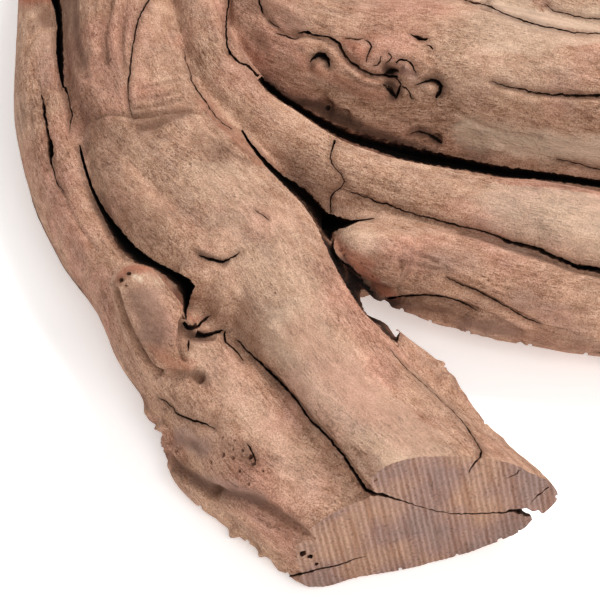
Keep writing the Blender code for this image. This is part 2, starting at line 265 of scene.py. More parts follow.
CRACKS = {
    "below_left_top": Crack(4, 0.3, [
        (62, 83, 1.4), (65.5, 89, 3), (68, 94, 2), (69.5, 101, 1.6), (71, 110, 1.8), (72.5, 116, 2.2),
        (70.5, 121, 1.2), (69.5, 133, 0.6),
    ]),
    "left_slit": Crack(7, 0.3, [
        (40, 89, 0.6), (42.5, 101, 2), (44.5, 108, 3.6), (44.5, 115, 3.5), (47, 128, 3.2), (49, 138, 4),
        (50.5, 147, 7), (51, 154, 6.5), (50.5, 161, 3), (52.5, 167, 1.5), (55, 176, 1.2), (57.5, 185, 1),
        (64, 191, 0.8),
    ]),
    "middle_top": Crack(6, 0.3, [
        (152, -12, 2), (148.6, 0, 2), (143, 10, 2), (138, 20, 2), (135, 33, 1.8), (132.7, 47, 1.8),
        (130.7, 61, 2), (130, 74, 2.2), (128, 81, 2), (128, 91, 1.6), (128.5, 100, 0.8), (130, 108, 0.8),
        (132, 117, 0.6),
    ]),
    "middle_edge": Crack(5, -0.4, [
        (184, 45, 0.8), (185, 60, 1.2), (190, 70, 1.4), (191, 80, 1.5), (195, 86, 2), (200, 94, 2.5),
        (207, 103, 2.8), (211, 110, 2.2), (216, 117, 1), (224, 124, 0.8), (232, 129, 0.8),
    ]),
    "flap_split": Crack(5, 0.0, [
        (183, 322, 3), (187, 327, 5), (192, 328, 5.5), (197, 326, 5), (203, 321, 3.2), (208, 316.5, 2.2),
        (212, 314.5, 0.8),
    ]),
    "below_flap": Crack(6, 0.0, [
        (196, 334, 8), (204, 336, 5), (212, 334, 4), (219, 331, 3.4), (225, 328.5, 1.6),
    ]),
    "below_flap_branch": Crack(4, 0.3, [
        (224.5, 328, 2.4), (224.5, 336, 2.4), (225.5, 342, 2.4), (232, 347, 2.4), (238, 353, 2),
        (243.5, 361, 0.8),
    ]),
    "recess_slit": Crack(3, 0.0, [(188.6, 340, 1), (189, 345, 2.4), (188, 351, 1)]),
    "middle_main": Crack(9, 0.9, [
        (232, 336, 0.8), (240, 343, 1.8), (248, 352, 2.2), (258, 360.5, 2.2), (269, 371, 2.8),
        (279, 381, 2.6), (287, 389, 2.4), (298, 402, 2.2), (310, 420, 2.2), (319, 428, 2.5),
        (329, 438, 2.2), (338, 449, 2.4), (344, 456, 2.4), (350, 466, 2.8), (357, 476, 3),
        (363, 486, 3.4), (367, 491, 3.4),
    ]),
    "sawn_face_main": Crack(9, 0.0, [
        (365, 489.5, 3), (372, 493, 4.4), (382, 495, 3.6), (391, 497.5, 2), (403, 501, 1.5),
        (413, 504.6, 1), (434, 510.5, 1), (452, 513.5, 1.1), (466, 514, 1.3), (481, 513.5, 1.4),
        (503, 512.5, 1.8), (511, 511, 3), (518, 511, 6), (526, 512.5, 8), (536, 515.5, 9), (550, 520, 10),
    ]),
    "sawn_face_low": Crack(5, 0.2, [
        (284, 578, 2.4), (291, 576, 2.6), (305, 573, 2.2), (319, 569, 1.8), (330, 567, 2),
        (344, 563.5, 1.4), (357, 558, 1.1), (366, 556.6, 0.6),
    ]),
    "foot_right": Crack(5, -0.25, [
        (388, 346, 0.7), (403, 365.4, 0.9), (418.5, 379.6, 1.1), (432.5, 392, 0.9), (441.4, 401, 1.2),
        (451.8, 410, 1.2), (463.6, 423, 1.5), (471, 433.6, 1.5), (477, 443, 1.6), (481, 450.6, 1.9),
        (480.4, 457.3, 2.2), (473, 464.7, 1.8), (469, 473, 0.7),
    ]),
    "sawn_face_nick": Crack(2, 0.0, [(519, 470, 1.2), (517, 474, 1.2), (505.5, 478.5, 0.7)]),
    "sawn_face_edge": Crack(3, 0.0, [
        (549, 487, 1.2), (545, 490, 1.2), (538.5, 494.5, 1.5), (531.7, 501.6, 0.7),
    ]),
    "side_zigzag": Crack(4, 0.1, [
        (335, 140, 2.6), (332, 149, 1.8), (330, 158, 1.5), (334, 167, 1.1), (341, 174, 1.1),
        (344.5, 181, 1.1), (341, 188, 1.4), (334, 192, 1.4), (331.6, 196, 2.2), (330, 206, 1.5),
        (331.6, 216, 1.4),
    ]),
    "side_long": Crack(9, 0.9, [
        (346, 191, 0.7), (357, 194, 1), (368.6, 198, 1.2), (378, 203, 2), (387, 203.6, 2),
        (394, 207, 1.6), (403, 210.5, 2), (417, 215, 1.8), (430, 218, 2), (449, 223.5, 2.5),
        (463.6, 227, 2), (484, 231.5, 2), (497, 236, 3), (506.5, 241, 4.5), (524, 245.6, 5),
        (541, 250, 5.5), (550.6, 255.6, 5), (564, 261, 4.5), (577.4, 267, 5), (591, 268.5, 6),
        (610, 273, 6),
    ]),
    "side_ledge": Crack(5, 0.6, [
        (384, 300, 3), (398, 296.5, 2.4), (410, 295.4, 2), (430, 295, 2), (446, 297, 1.5),
        (457, 300.4, 1.5), (467.6, 304.5, 2), (477, 310.5, 0.8),
    ]),
    "side_low": Crack(3, 0.4, [
        (446, 277, 0.7), (459.6, 283.7, 1.2), (477, 290.4, 1.6), (496, 300.4, 1.5), (510.5, 309, 1.1),
        (524, 317, 1.5), (541, 324, 0.8),
    ]),
    "side_and_upper_top": Crack(9, 0.3, [
        (229.5, -12, 2), (229, 0, 2), (227, 12, 1.5), (226, 28, 2), (227, 46, 2.2), (231, 55, 3),
        (240, 63, 2.6), (249, 66, 3.4), (256, 74, 4), (263, 81, 5), (270, 88, 4),
    ]),
    "upper_first": Crack(5, 0.2, [(259, -10, 2), (259, 0, 2), (261, 10, 2.4), (263.5, 13.5, 1)]),
    "upper_first_low": Crack(4, 0.2, [(268, 20, 0.8), (275, 25.5, 1.6), (279, 28, 1.2)]),
    "upper_first_end": Crack(4, 0.2, [
        (276.5, 33, 0.8), (283, 35, 1.8), (289, 37.6, 2.2), (295, 39, 2), (299, 38, 1),
    ]),
    "upper_second": Crack(7, 0.6, [
        (295, 33.4, 1.6), (301, 32.6, 2.2), (307, 31.6, 3.6), (312, 34.6, 2.8), (319, 35.8, 2.2),
        (327, 36.6, 2), (333, 39, 3.6), (338, 43, 3.8), (342, 50, 3.6), (346, 57, 3), (350, 61, 2.4),
        (354, 64, 3.8), (360, 69, 3), (367, 72.5, 2.6), (374, 75, 3), (382, 75, 3), (390, 76.5, 3),
        (398, 77, 3),
    ]),
    "upper_swirl": Crack(1.6, 0.0, [
        (364, 39, 1), (369, 42, 1.8), (371.5, 46.5, 2.2), (369, 52, 1.8), (367, 58, 2), (366, 62, 1),
    ]),
    "upper_swirl_top": Crack(0.8, 0.0, [
        (345, 38.5, 1.4), (351, 38, 2.4), (357, 40, 2.6), (363, 38.5, 1.4),
    ]),
    "upper_swirl_low": Crack(1.4, 0.0, [
        (381, 56, 1.2), (380.5, 61, 1.8), (378, 64.5, 1.8), (373, 66, 0.9),
    ]),
    "upper_swirl_third": Crack(1.2, 0.0, [
        (388, 53, 0.9), (391.5, 57, 1.4), (389, 61.5, 1.2), (385, 64, 0.8),
    ]),
    "upper_hook": Crack(4, 0.3, [
        (415, 85.4, 0.9), (424, 82, 2), (431, 80.6, 3.2), (437.6, 81.6, 4.6), (441, 86, 5),
        (439.6, 92, 5), (436, 98, 2.6),
    ]),
    "upper_ball_rim": Crack(5, 0.0, [
        (396, 63, 2), (401, 59.6, 2.6), (406, 60, 2), (411, 63, 2.4), (413, 67, 1.8), (416, 73, 0.8),
    ]),
    "upper_ball_foot": Crack(4, 0.0, [
        (396, 78, 2), (401, 84, 1.6), (399, 89, 3), (397.4, 94, 3.6), (396, 98, 2.4),
    ]),
    "upper_ball_hook": Crack(2.4, 0.0, [
        (402, 86.4, 1.6), (406.6, 87.6, 1.8), (409, 92, 1.8), (410.6, 97, 1.6), (413.4, 99.4, 0.9),
    ]),
    "upper_socket": Crack(4, 0.0, [
        (310, 62, 1), (313, 58, 3), (318, 55.5, 6), (324, 55.5, 7.5), (328, 60, 5), (329, 67, 1),
    ]),
    "upper_pocket": Crack(3, 0.0, [
        (383, 75, 1), (387, 73, 4.4), (391.5, 70.5, 7), (396, 70, 5), (399, 72, 2),
    ]),
    "upper_pocket_low": Crack(3, 0.0, [
        (383, 84, 1), (387, 87, 4), (391.5, 91, 6), (395, 96, 4), (396, 99, 1.5),
    ]),
    "upper_low_hole": Crack(3, 0.0, [
        (410, 134, 1), (419, 131, 2.2), (427, 134, 2.8), (435, 138, 5), (442, 143, 2.4),
    ]),
    "upper_hole": Crack(4, 0.3, [
        (410.6, 34.2, 1), (415, 36.2, 3), (420, 38.4, 5), (424.4, 39.6, 4), (428, 38.6, 1),
    ]),
    "upper_hole_small": Crack(2, 0.0, [(426.4, 44.6, 0.9), (430, 46, 2.2), (433, 49.4, 1.6)]),
    "upper_top": Crack(5, 0.25, [
        (462, -6, 3), (466, 0, 4), (474, 3, 4), (484, 4, 3), (499, 11, 1.6), (513, 17, 1.8),
        (527, 21.7, 2.2), (541, 26, 1.8), (556.7, 28.7, 1.8), (573.5, 32.5, 1.8), (600, 33.7, 1.4),
        (612, 34, 1.2),
    ]),
    "upper_far": Crack(3, 0.05, [
        (545, 3, 0.8), (553, 11, 1.2), (570, 14.5, 1.2), (584, 18, 1.4), (612, 19.5, 1),
    ]),
    "upper_long": Crack(5, 0.4, [
        (492, 81.5, 0.6), (503, 85.6, 1.5), (516, 88.4, 1.6), (525, 89.6, 2.6), (529, 92, 2),
        (537, 93, 2), (554, 95, 2), (562, 94.7, 2.5), (576, 96, 3), (612, 95, 3),
    ]),
    "upper_low_thin": Crack(2.4, 0.3, [
        (556, 159, 0.7), (574, 162.5, 1.2), (592, 168, 1.4), (612, 172, 1.4),
    ]),
    "knot_eye": Crack(3.4, 0.0, [
        (198, 254.5, 1), (201, 256.5, 2), (206.6, 258, 3), (215.5, 260.6, 3.4), (223, 262, 3),
        (229.5, 259, 2), (234.6, 255.7, 2), (240, 252, 0.8),
    ]),
    "middle_nick": Crack(1.2, 0.0, [(253.8, 209, 0.8), (262, 215, 1), (269, 220, 0.9)]),
    "left_foot": Crack(4, 0.3, [
        (154.5, 396, 0.8), (166, 401.5, 1.2), (173.6, 408, 1), (175, 412.5, 2), (184, 417, 2),
        (195.6, 421, 2.5), (206, 424, 2), (215, 429, 0.8),
    ]),
    "left_foot_arc": Crack(2.4, 0.0, [
        (245.4, 441.8, 0.9), (251, 449, 1.7), (254, 456.5, 2.2), (255.7, 465, 0.9),
    ]),
}


# Round features: a pixel of the photo, the radius in pixels and the height in millimetres. Swells
# stand proud and dents sink in. Each fades out smoothly at its radius.
SPOTS = [
    (31, -7, 17, 3.2), (44, 14, 14, -1.6), (220, 241, 22, 1.8), (221, 263, 9, -1.0), (204, 252, 8, 0.5),
    (198, 377, 9, -3.0), (174, 374, 15, -1.3), (191, 443, 10, -1.0), (216, 491, 10, -1.2),
    (240, 456, 15, -0.8), (328, 108, 6, -2.0), (346, 113, 6, -1.8), (322, 107, 17, -2.2),
    (343, 116, 10, -1.2), (418, 133, 9, -1.5), (437, 140, 7, -2.6), (318, 67, 10, 1.6),
    (322, 57, 9, -1.4), (357, 50, 16, 1.6), (353, 51, 4, -0.9), (376, 57, 9, 0.7), (389, 70, 9, -3.2),
    (388, 86, 8, -2.4), (396, 92, 10, -1.6), (406, 69, 7.5, 3.6), (404, 93, 6, 1.2), (415, 76, 7, -0.8),
    (430, 91, 11, 1.3), (434, 78, 11, -1.2), (445, 92, 8, -0.8), (420, 36, 9, -0.8), (258, 40, 12, -1.0),
    (283, 17, 14, -0.9), (270, 20, 10, -0.6), (300, 50, 6, -0.6), (308, 545, 9, -3.0),
    (306, 557, 7, -2.2), (150, 130, 24, -0.9), (210, 150, 18, -1.2), (110, 70, 34, -1.0),
    (165, 60, 26, 0.9), (486, 3, 9, -1.0), (150, 322, 22, 0.5), (470, 150, 26, -1.0), (350, 240, 16, 1.0),
    (445, 384, 13, 2.6), (440, 366, 9, 0.9), (151, 411, 8, 1.0), (165, 426, 10, 2.4), (235, 531, 8, 1.6),
    (262, 553, 6, 1.0), (460, 316, 18, -1.2), (545, 215, 30, 0.8), (430, 190, 24, -0.7),
    (400, 268, 18, -0.8),
]


# Soft valleys along pixels of the photo, or ridges where the depth is negative: the depth in
# millimetres, the half width in pixels and the pixels.
FURROWS = [
    (1.0, 8, [(50, -14), (56, 20), (58, 60), (64, 90), (71, 114), (75, 134)]),
    (1.2, 9, [(71, -10), (72, 20), (76, 45), (84, 75)]),
    (-0.8, 7, [(88, -10), (90, 20), (94, 50)]),
    (0.9, 5, [(112, -10), (109, 10), (104, 34), (104, 60)]),
    (-0.6, 5, [(99, 0), (98, 14), (97, 30)]),
    (0.8, 4.5, [(126, 0), (122, 25), (121, 48), (123, 62)]),
    (-0.5, 5, [(117, 0), (114, 30), (113, 55)]),
    (0.6, 4, [(330, 30), (316, 22), (300, 24)]),
    (1.6, 12, [(95, 196), (110, 226), (126, 254)]),
    (1.8, 7, [(184, 322), (186, 334), (198, 337), (212, 335)]),
    (0.9, 7, [(262, 368), (292, 400), (325, 436), (350, 468), (363, 488)]),
    (0.9, 7, [(213, 118), (240, 136), (262, 158), (290, 184)]),
    (0.8, 6, [(228, 0), (227, 48), (250, 68), (282, 98)]),
    (1.7, 8, [
        (165, 455), (184, 471), (199, 482), (214, 491), (232, 496), (252, 498), (272, 509), (292, 524),
        (310, 540),
    ]),
    (-0.7, 6, [(176, 472), (196, 492), (222, 503), (250, 512), (272, 528)]),
    (0.8, 3.6, [(95, 117), (110, 113), (128, 116)]),
    (1.1, 3.6, [(133, 117), (146, 115.5), (158, 113.5), (168, 111.5), (186, 110), (205, 112)]),
    (-0.7, 4, [(134, 122), (150, 120), (166, 117), (184, 115)]),
    (1.0, 4, [(138, 128), (152, 125.5), (166, 120), (182, 114.5)]),
    (0.8, 3.6, [(134, 108), (146, 107), (160, 104), (178, 99)]),
    (0.7, 3.4, [(138, 99), (155, 96), (176, 91)]),
    (0.6, 3.2, [(140, 88), (158, 84), (178, 80)]),
    (0.45, 3.2, [(146, 66), (160, 63), (176, 64)]),
    (0.45, 3.2, [(142, 76), (160, 73), (178, 72)]),
    (0.6, 3, [(204, 124), (216, 134), (222, 146)]),
    (1.0, 6, [(148, 369), (168, 374), (190, 376)]),
    (1.6, 5, [(187, 314), (182, 330), (179, 346), (184, 360)]),
    (2.4, 5, [(115, 290), (121, 312), (132, 336), (147, 362), (158, 374)]),
    (0.28, 1.8, [(128, 304), (145, 308), (164, 304), (178, 298)]),
    (0.28, 1.8, [(132, 312), (150, 316), (168, 312), (180, 304)]),
    (0.28, 1.8, [(136, 320), (153, 324), (170, 319)]),
    (0.28, 1.8, [(141, 329), (156, 333), (172, 328)]),
    (0.28, 1.8, [(146, 338), (160, 341), (174, 336)]),
    (0.28, 1.8, [(126, 296), (144, 298), (162, 294), (172, 288)]),
    (0.9, 5, [(386, 301), (410, 298), (440, 299), (470, 307), (500, 320), (520, 331)]),
    (0.8, 4, [(446, 278), (478, 292), (512, 311), (545, 327), (590, 338)]),
    (-0.5, 4, [(450, 268), (482, 282), (516, 300), (560, 322)]),
    (0.9, 7, [(462, 229), (500, 240), (545, 255), (600, 272)]),
    (0.5, 3.4, [(396, 240), (412, 252), (436, 262)]),
    (0.5, 3, [(400, 262), (420, 266), (444, 270)]),
    (0.5, 4, [(404, 244), (400, 258), (402, 276), (396, 290)]),
    (0.7, 6, [(262, 14), (280, 32), (320, 37), (345, 56), (366, 74), (398, 80)]),
    (-0.5, 4, [(345, 66), (360, 79), (380, 84)]),
    (0.5, 4, [(345, 74), (362, 86), (386, 92)]),
    (0.45, 3, [(358, 102), (372, 111), (390, 118), (420, 124), (450, 122)]),
    (0.4, 3, [(330, 76), (352, 90), (376, 98)]),
    (-0.5, 5, [(400, 52), (416, 56), (428, 66), (446, 74)]),
    (0.5, 3, [(380, 34), (400, 40), (424, 50), (440, 60)]),
    (-0.8, 8, [(330, 96), (370, 122), (410, 136), (450, 144), (500, 150)]),
    (0.5, 5, [(500, 86), (540, 94), (600, 97)]),
    (0.6, 5, [(484, 5), (520, 20), (560, 30), (610, 35)]),
    (0.6, 4, [(452, 110), (476, 124), (506, 134), (540, 138)]),
    (0.5, 3, [(60, 20), (40, 30), (24, 52)]),
    (0.4, 3, [(30, 90), (31, 130), (36, 170), (48, 210)]),
    (0.5, 4, [(60, 190), (76, 222), (96, 250)]),
]


# Colour along pixels of the photo, by kind: the strength, the half width in pixels and the
# pixels. Some kinds carry painted shade and one carries painted light, as marked below.
STAINS = {
    "rust": [
        (0.9, 16, [(14, -6), (31, -5), (48, -6)]),
        (0.45, 9, [(205, 104), (222, 122), (245, 146), (272, 170), (296, 188)]),
        (0.9, 12, [(348, 264), (362, 272), (378, 286), (392, 300)]),
        (0.55, 8, [(336, 240), (342, 250), (356, 258), (372, 266)]),
        (0.6, 7, [(120, 276), (132, 268), (150, 270), (166, 282), (182, 302)]),
        (0.6, 4, [(188, 312), (192, 321), (200, 318)]),
        (0.5, 8, [(346, 42), (356, 50), (366, 56)]),
        (0.4, 9, [(155, 350), (172, 364), (190, 364)]),
        (0.35, 10, [(300, 60), (330, 76), (360, 92), (392, 98)]),
        (0.4, 14, [(500, 420), (530, 460)]),
        (0.25, 30, [(300, 330), (360, 400), (420, 440)]),
        (0.45, 4, [(150, 268), (166, 278), (178, 294), (183, 306)]),
        (0.8, 6, [(119, 280), (125, 270), (137, 267), (150, 269)]),
    ],
    # Brown wood, and mostly painted shade along gaps, furrows, recesses and undersides.
    "umber_and_painted_shade": [
        (0.55, 16, [(70, -10), (72, 30), (78, 60)]),
        (0.4, 8, [(108, -10), (104, 30), (104, 60)]),
        (0.35, 6, [(122, 10), (121, 50), (124, 70)]),
        (0.6, 14, [(40, 6), (46, 22)]),
        (0.6, 8, [(136, 116), (160, 114), (190, 112)]),
        (0.6, 10, [(140, 128), (166, 120)]),
        (0.35, 16, [(200, 140), (222, 152)]),
        (0.3, 26, [(90, 120), (118, 190), (150, 230)]),
        (0.55, 14, [(258, 4), (282, 14), (296, 28)]),
        (0.5, 9, [(256, 40), (266, 46)]),
        (0.7, 9, [(300, 100), (330, 114), (356, 126), (392, 140)]),
        (0.2, 8, [(392, 140), (440, 149), (520, 160), (610, 174)]),
        (0.75, 8, [(384, 303), (404, 305), (430, 308), (452, 313)]),
        (0.36, 2.4, [(140, 88), (158, 84), (178, 80)]),
        (0.36, 2.4, [(138, 99), (155, 96), (176, 91)]),
        (0.42, 2.6, [(134, 108), (160, 104), (178, 99), (196, 104)]),
        (0.42, 2.4, [(138, 128), (152, 125.5), (166, 120), (182, 114.5)]),
        (0.55, 2.6, [(206, 134), (226, 149), (250, 163)]),
        (0.45, 2.4, [(214, 129), (236, 144), (256, 158)]),
        (0.6, 7, [(312, 64), (322, 58), (331, 68)]),
        (0.7, 8, [(384, 66), (392, 80), (392, 98)]),
        (0.5, 7, [(426, 78), (440, 80), (444, 92)]),
        (0.6, 9, [(184, 330), (192, 338), (206, 338)]),
        (0.6, 5, [(114, 286), (121, 312), (132, 336), (147, 362)]),
        (0.4, 5, [(182, 372), (198, 376), (204, 382)]),
        (0.48, 22, [(140, 296), (156, 330)]),
        (0.5, 9, [(412, 132), (428, 132), (438, 140)]),
        (0.5, 9, [(196, 376), (204, 378)]),
        (0.5, 10, [(180, 466), (214, 490), (252, 498), (292, 524)]),
        (0.45, 12, [(120, 300), (130, 332), (148, 358)]),
        (0.45, 12, [(400, 304), (440, 310), (500, 328), (560, 342), (610, 352)]),
        (0.45, 12, [(300, 545), (308, 558)]),
        (0.5, 6, [(182, 440), (194, 445), (200, 450)]),
        (0.35, 16, [(226, 448), (250, 462)]),
    ],
    "mauve": [
        (0.55, 26, [(146, 300), (156, 330)]),
        (0.6, 14, [(180, 436), (204, 448)]),
        (0.55, 10, [(196, 478), (226, 486), (262, 500)]),
        (0.35, 12, [(46, 40), (46, 80)]),
        (0.5, 14, [(465, 326), (512, 330)]),
        (0.5, 8, [(406, 70), (414, 78)]),
        (0.3, 16, [(520, 300), (580, 330)]),
        (0.3, 20, [(420, 260), (470, 262)]),
    ],
    "pale": [
        (0.9, 4, [(135, 277), (141, 279)]),
        (0.3, 10, [(150, 272), (172, 288)]),
        (0.3, 60, [(520, 205), (600, 220), (680, 236)]),
        (0.22, 80, [(520, 30), (600, 30)]),
        (0.4, 26, [(492, 2), (540, 18), (640, 26)]),
        # Painted light on the upper limb's underside, which faces down.
        (0.5, 22, [(466, 132), (520, 142), (640, 156)]),
        (0.1, 40, [(470, 70), (560, 74)]),
        (0.2, 20, [(348, 236), (366, 240)]),
        (0.12, 60, [(220, 180), (270, 260), (320, 360)]),
        (0.28, 50, [(290, 330), (350, 400), (410, 445)]),
        (0.12, 26, [(200, 350), (250, 410), (310, 480)]),
    ],
    # Painted shade, all of it: under the limbs, beside the gaps, in the knot's pockets and under its eye.
    "painted_shade": [
        (0.6, 5, [(262, 77), (290, 99), (360, 130), (430, 150)]),
        (0.75, 8, [(302, 101), (316, 106), (334, 113), (348, 120), (358, 128)]),
        (0.75, 7, [(343, 260), (355, 274), (368, 288), (380, 300), (394, 305)]),
        (0.7, 5, [(315, 57), (322, 54), (327, 60), (328, 66)]),
        (0.7, 6, [(387, 69), (393, 72)]),
        (0.6, 6, [(387, 84), (392, 90), (394, 96)]),
        (0.5, 4, [(424, 80), (436, 80), (442, 87), (441, 97)]),
        (0.5, 5, [(418, 132), (428, 134), (438, 141)]),
        (0.6, 6, [(186, 326), (190, 334), (198, 336), (208, 336)]),
        (0.5, 5, [(196, 250), (204, 257), (226, 262)]),
        (0.4, 5, [(80, 150), (86, 184), (100, 214), (110, 234)]),
    ],
}

# Worm holes and pits: pixel, radius in pixels, depth in millimetres. Those deeper than PIT_DEPTH
# are worm holes.
PIT_DEPTH = 1.3
PITS = [
    (223.4, 455, 2.4, 1.2), (233, 458, 2.0, 1.0), (242.5, 450.6, 1.8, 1.0), (250.6, 457, 2.6, 1.4),
    (253, 464, 2.0, 1.0), (222.7, 437.4, 1.4, 0.6), (234.4, 440.4, 1.5, 0.7), (233, 449.5, 1.2, 0.6),
    (211.7, 462.4, 1.5, 0.6), (239.6, 471, 1.8, 0.8), (248.4, 484.4, 1.8, 0.8), (263, 471, 1.4, 0.6),
    (176.5, 450.6, 2.2, 0.8), (303, 553.5, 3.4, 3.0), (310, 556.5, 2.8, 3.0), (316.5, 564, 2.0, 2.0),
    (328, 108, 3, 1.4), (341, 250, 1.9, 0.9), (344, 255, 1.6, 0.8), (361, 263, 1.5, 0.7),
    (372, 277, 1.6, 0.7), (121, 280, 2.6, 1.6), (129, 273.5, 2.2, 1.6), (126, 286, 1.6, 0.9),
    (388, 87, 2.2, 0.8), (353, 480.5, 1.8, 0.8), (358, 484, 1.5, 0.7), (275, 293, 1.5, 0.6),
    (376, 480, 2.2, 0.8), (110, 60, 1.8, 0.8),
]

# Chips broken out of the outline: a pixel inside it, the way from there to the outline, and the
# chip's radius in pixels.
CHIPS = [
    (519, 325, 0.1, 1.0, 5.0), (533, 332, -0.2, 1.0, 2.6), (468, 326, 0.0, 1.0, 2.4),
    (586, 346, 0.0, 1.0, 2.4), (430, 312, 0.0, 1.0, 2.0), (402, 303, 0.0, 1.0, 2.2),
    (396, 555, 0.3, 1.0, 1.8), (497, 532, 0.4, 1.0, 2.4), (531, 515, 0.7, 0.8, 2.2),
    (540, 495, 1.0, 0.1, 1.8), (455, 545, 0.2, 1.0, 1.6), (516, 524, 0.5, 1.0, 1.4),
    (173, 444, -0.9, 0.4, 2.2), (207, 500, -0.8, 0.8, 2.0), (252, 536, -0.7, 0.9, 2.4),
    (292, 568, -0.7, 0.9, 1.8), (440, 372, 0.8, -0.8, 1.8), (484, 424, 0.8, -0.7, 1.6),
    (60, 270, -1.0, 0.4, 1.4), (118, 362, -1.0, 0.3, 1.5),
]

# Where the outline is ragged: half width in pixels, height in millimetres, pixels.
RAGGED = [
    (16, 0.6, [(378, 302), (420, 308), (460, 322), (512, 330), (560, 338), (604, 350)]),
    (15, 0.7, [(150, 398), (166, 430), (180, 468), (206, 500), (240, 524), (270, 552), (294, 574)]),
    (10, 0.4, [(404, 345), (440, 372), (470, 404), (500, 440), (530, 466), (546, 490)]),
    (7, 0.15, [(20, 130), (40, 220), (76, 290), (110, 350), (140, 386)]),
]

# Where the surface is more pebbly than elsewhere: pixel, radius in pixels, how much more.
PEBBLY = [
    (500, 134, 50, 2.2), (380, 70, 70, 1.2), (240, 456, 34, 2.0), (190, 440, 26, 1.4),
    (450, 318, 70, 2.4), (560, 340, 60, 2.4), (130, 280, 18, 1.6), (345, 250, 20, 1.2),
    (276, 20, 34, 1.6), (176, 358, 24, 1.6), (220, 520, 50, 1.2), (420, 250, 60, 0.8),
]


class GrainCrack(NamedTuple):
    """A crack away from the photo: the strand it runs along, its angle round the strand in
    degrees, where it starts and ends as shares of the length, and its width in millimetres."""

    strand: list
    angle: float
    start: float
    end: float
    width: float


# Cracks on the sides that the photo doesn't show.
GRAIN_CRACKS = [
    GrainCrack(*row)
    for row in (
        (MIDDLE_STRAND, 100, 0.02, 0.2, 0.8),
        (MIDDLE_STRAND, 60, 0.14, 0.36, 1.1),
        (MIDDLE_STRAND, 128, 0.24, 0.42, 0.9),
        (LEFT_STRAND, 95, 0.05, 0.24, 0.8),
        (LEFT_STRAND, 170, 0.16, 0.5, 1.3),
        (LEFT_STRAND, 205, 0.48, 0.74, 1.0),
        (LEFT_STRAND, 62, 0.2, 0.38, 0.9),
        (SIDE_UPPER, 80, 0.76, 0.96, 1.0),
        (SIDE_UPPER, 115, 0.8, 0.99, 0.8),
        (SIDE_LOWER, 150, 0.56, 0.84, 1.1),
        (SIDE_LOWER, 100, 0.66, 0.95, 0.9),
        (SIDE_LOWER, 205, 0.3, 0.62, 1.2),
        (UPPER_FRONT, 95, 0.62, 0.86, 1.1),
        (UPPER_FRONT, 150, 0.56, 0.8, 0.9),
        (UPPER_FRONT, 60, 0.74, 0.97, 0.8),
        (UPPER_BACK, 60, 0.22, 0.5, 1.3),
        (UPPER_BACK, 20, 0.3, 0.62, 1.1),
        (UPPER_BACK, 340, 0.18, 0.44, 1.0),
        (UPPER_BACK, 100, 0.58, 0.84, 0.9),
        (UPPER_BACK, 30, 0.72, 0.96, 0.8),
        (UPPER_TWIG, 90, 0.25, 0.95, 0.7),
        (TRUNK_TWIG, 80, 0.3, 0.96, 0.8),
        (TRUNK_TWIG, 200, 0.35, 0.8, 0.7),
        (TRUNK_STUB, 90, 0.45, 0.98, 0.7),
    )
]

WOOD_TAN = "#D9B096"
WOOD_SALMON = "#DAA892"
WOOD_STRAW = "#DCB69C"
# Brown for stains, and for painted shade in hollows and beside the crack walls.
WOOD_UMBER_AND_SHADE = "#6C4B3A"
WOOD_RUST = "#A2624A"
WOOD_MAUVE = "#94766B"
# Paler wood, and painted light on the upper limb's underside.
WOOD_PALE = "#E3CDB4"
# The dark crack colours are painted shade deep in cracks and gaps, and on the wood where the darkest stain
# kind lies.
CRACK_DARK = "#3A251B"
CRACK_BLACK = "#120A07"
CRACK_BROWN = "#6B4836"
SAWN_MAUVE = "#917266"
SAWN_GREY = "#856C63"
SAWN_TAN = "#A07D68"
FLOOR_WHITE = "#FAF9F8"


def linear(hex_colour):
    """The linear RGBA of an sRGB hex colour."""
    channels = [int(hex_colour[i : i + 2], 16) / 255 for i in (1, 3, 5)]
    return [c / 12.92 if c <= 0.04045 else ((c + 0.055) / 1.055) ** 2.4 for c in channels] + [1.0]


def unit(vectors):
    """Each row of vectors at length one."""
    return vectors / np.maximum(np.linalg.norm(vectors, axis=-1, keepdims=True), 1e-12)


def fade(x):
    """A smooth step from 0 at x = 0 to 1 at x = 1: 3x² - 2x³."""
    x = np.clip(x, 0.0, 1.0)
    return x * x * (3.0 - 2.0 * x)


def eased(rows, rounds):
    """Rows smoothed by moving each towards the mean of its two neighbours, with the ends held."""
    rows = rows.copy()
    for _ in range(rounds):
        rows[1:-1] = 0.5 * rows[1:-1] + 0.25 * (rows[2:] + rows[:-2])
    return rows


def lattice_noise(points, seed):
    """Gradient noise, about -1 to 1, with one bump per unit: at each corner of a point's cell a
    hashed vector is dotted with the way to that corner, and the eight results are blended."""
    cell = np.floor(points).astype(np.int64)
    part = (points - cell).astype(np.float32)
    blend = part * part * part * (part * (part * 6.0 - 15.0) + 10.0)
    total = np.zeros(len(points), np.float32)
    for corner in np.ndindex(2, 2, 2):
        i, j, k = (cell + corner).T
        h = (i * 374761393 + j * 668265263 + k * 1440662683 + seed * 974634777) & 0xFFFFFFFF
        h = ((h ^ (h >> 13)) * 1274126177) & 0xFFFFFFFF
        h ^= h >> 16
        way = part - np.array(corner, np.float32)
        dot = sum(((h >> (10 * a) & 1023) / 511.5 - 1.0).astype(np.float32) * way[:, a] for a in range(3))
        near = np.where(np.array(corner) == 1, blend, 1.0 - blend)
        total += dot * near.prod(axis=1)
    return total * 1.3


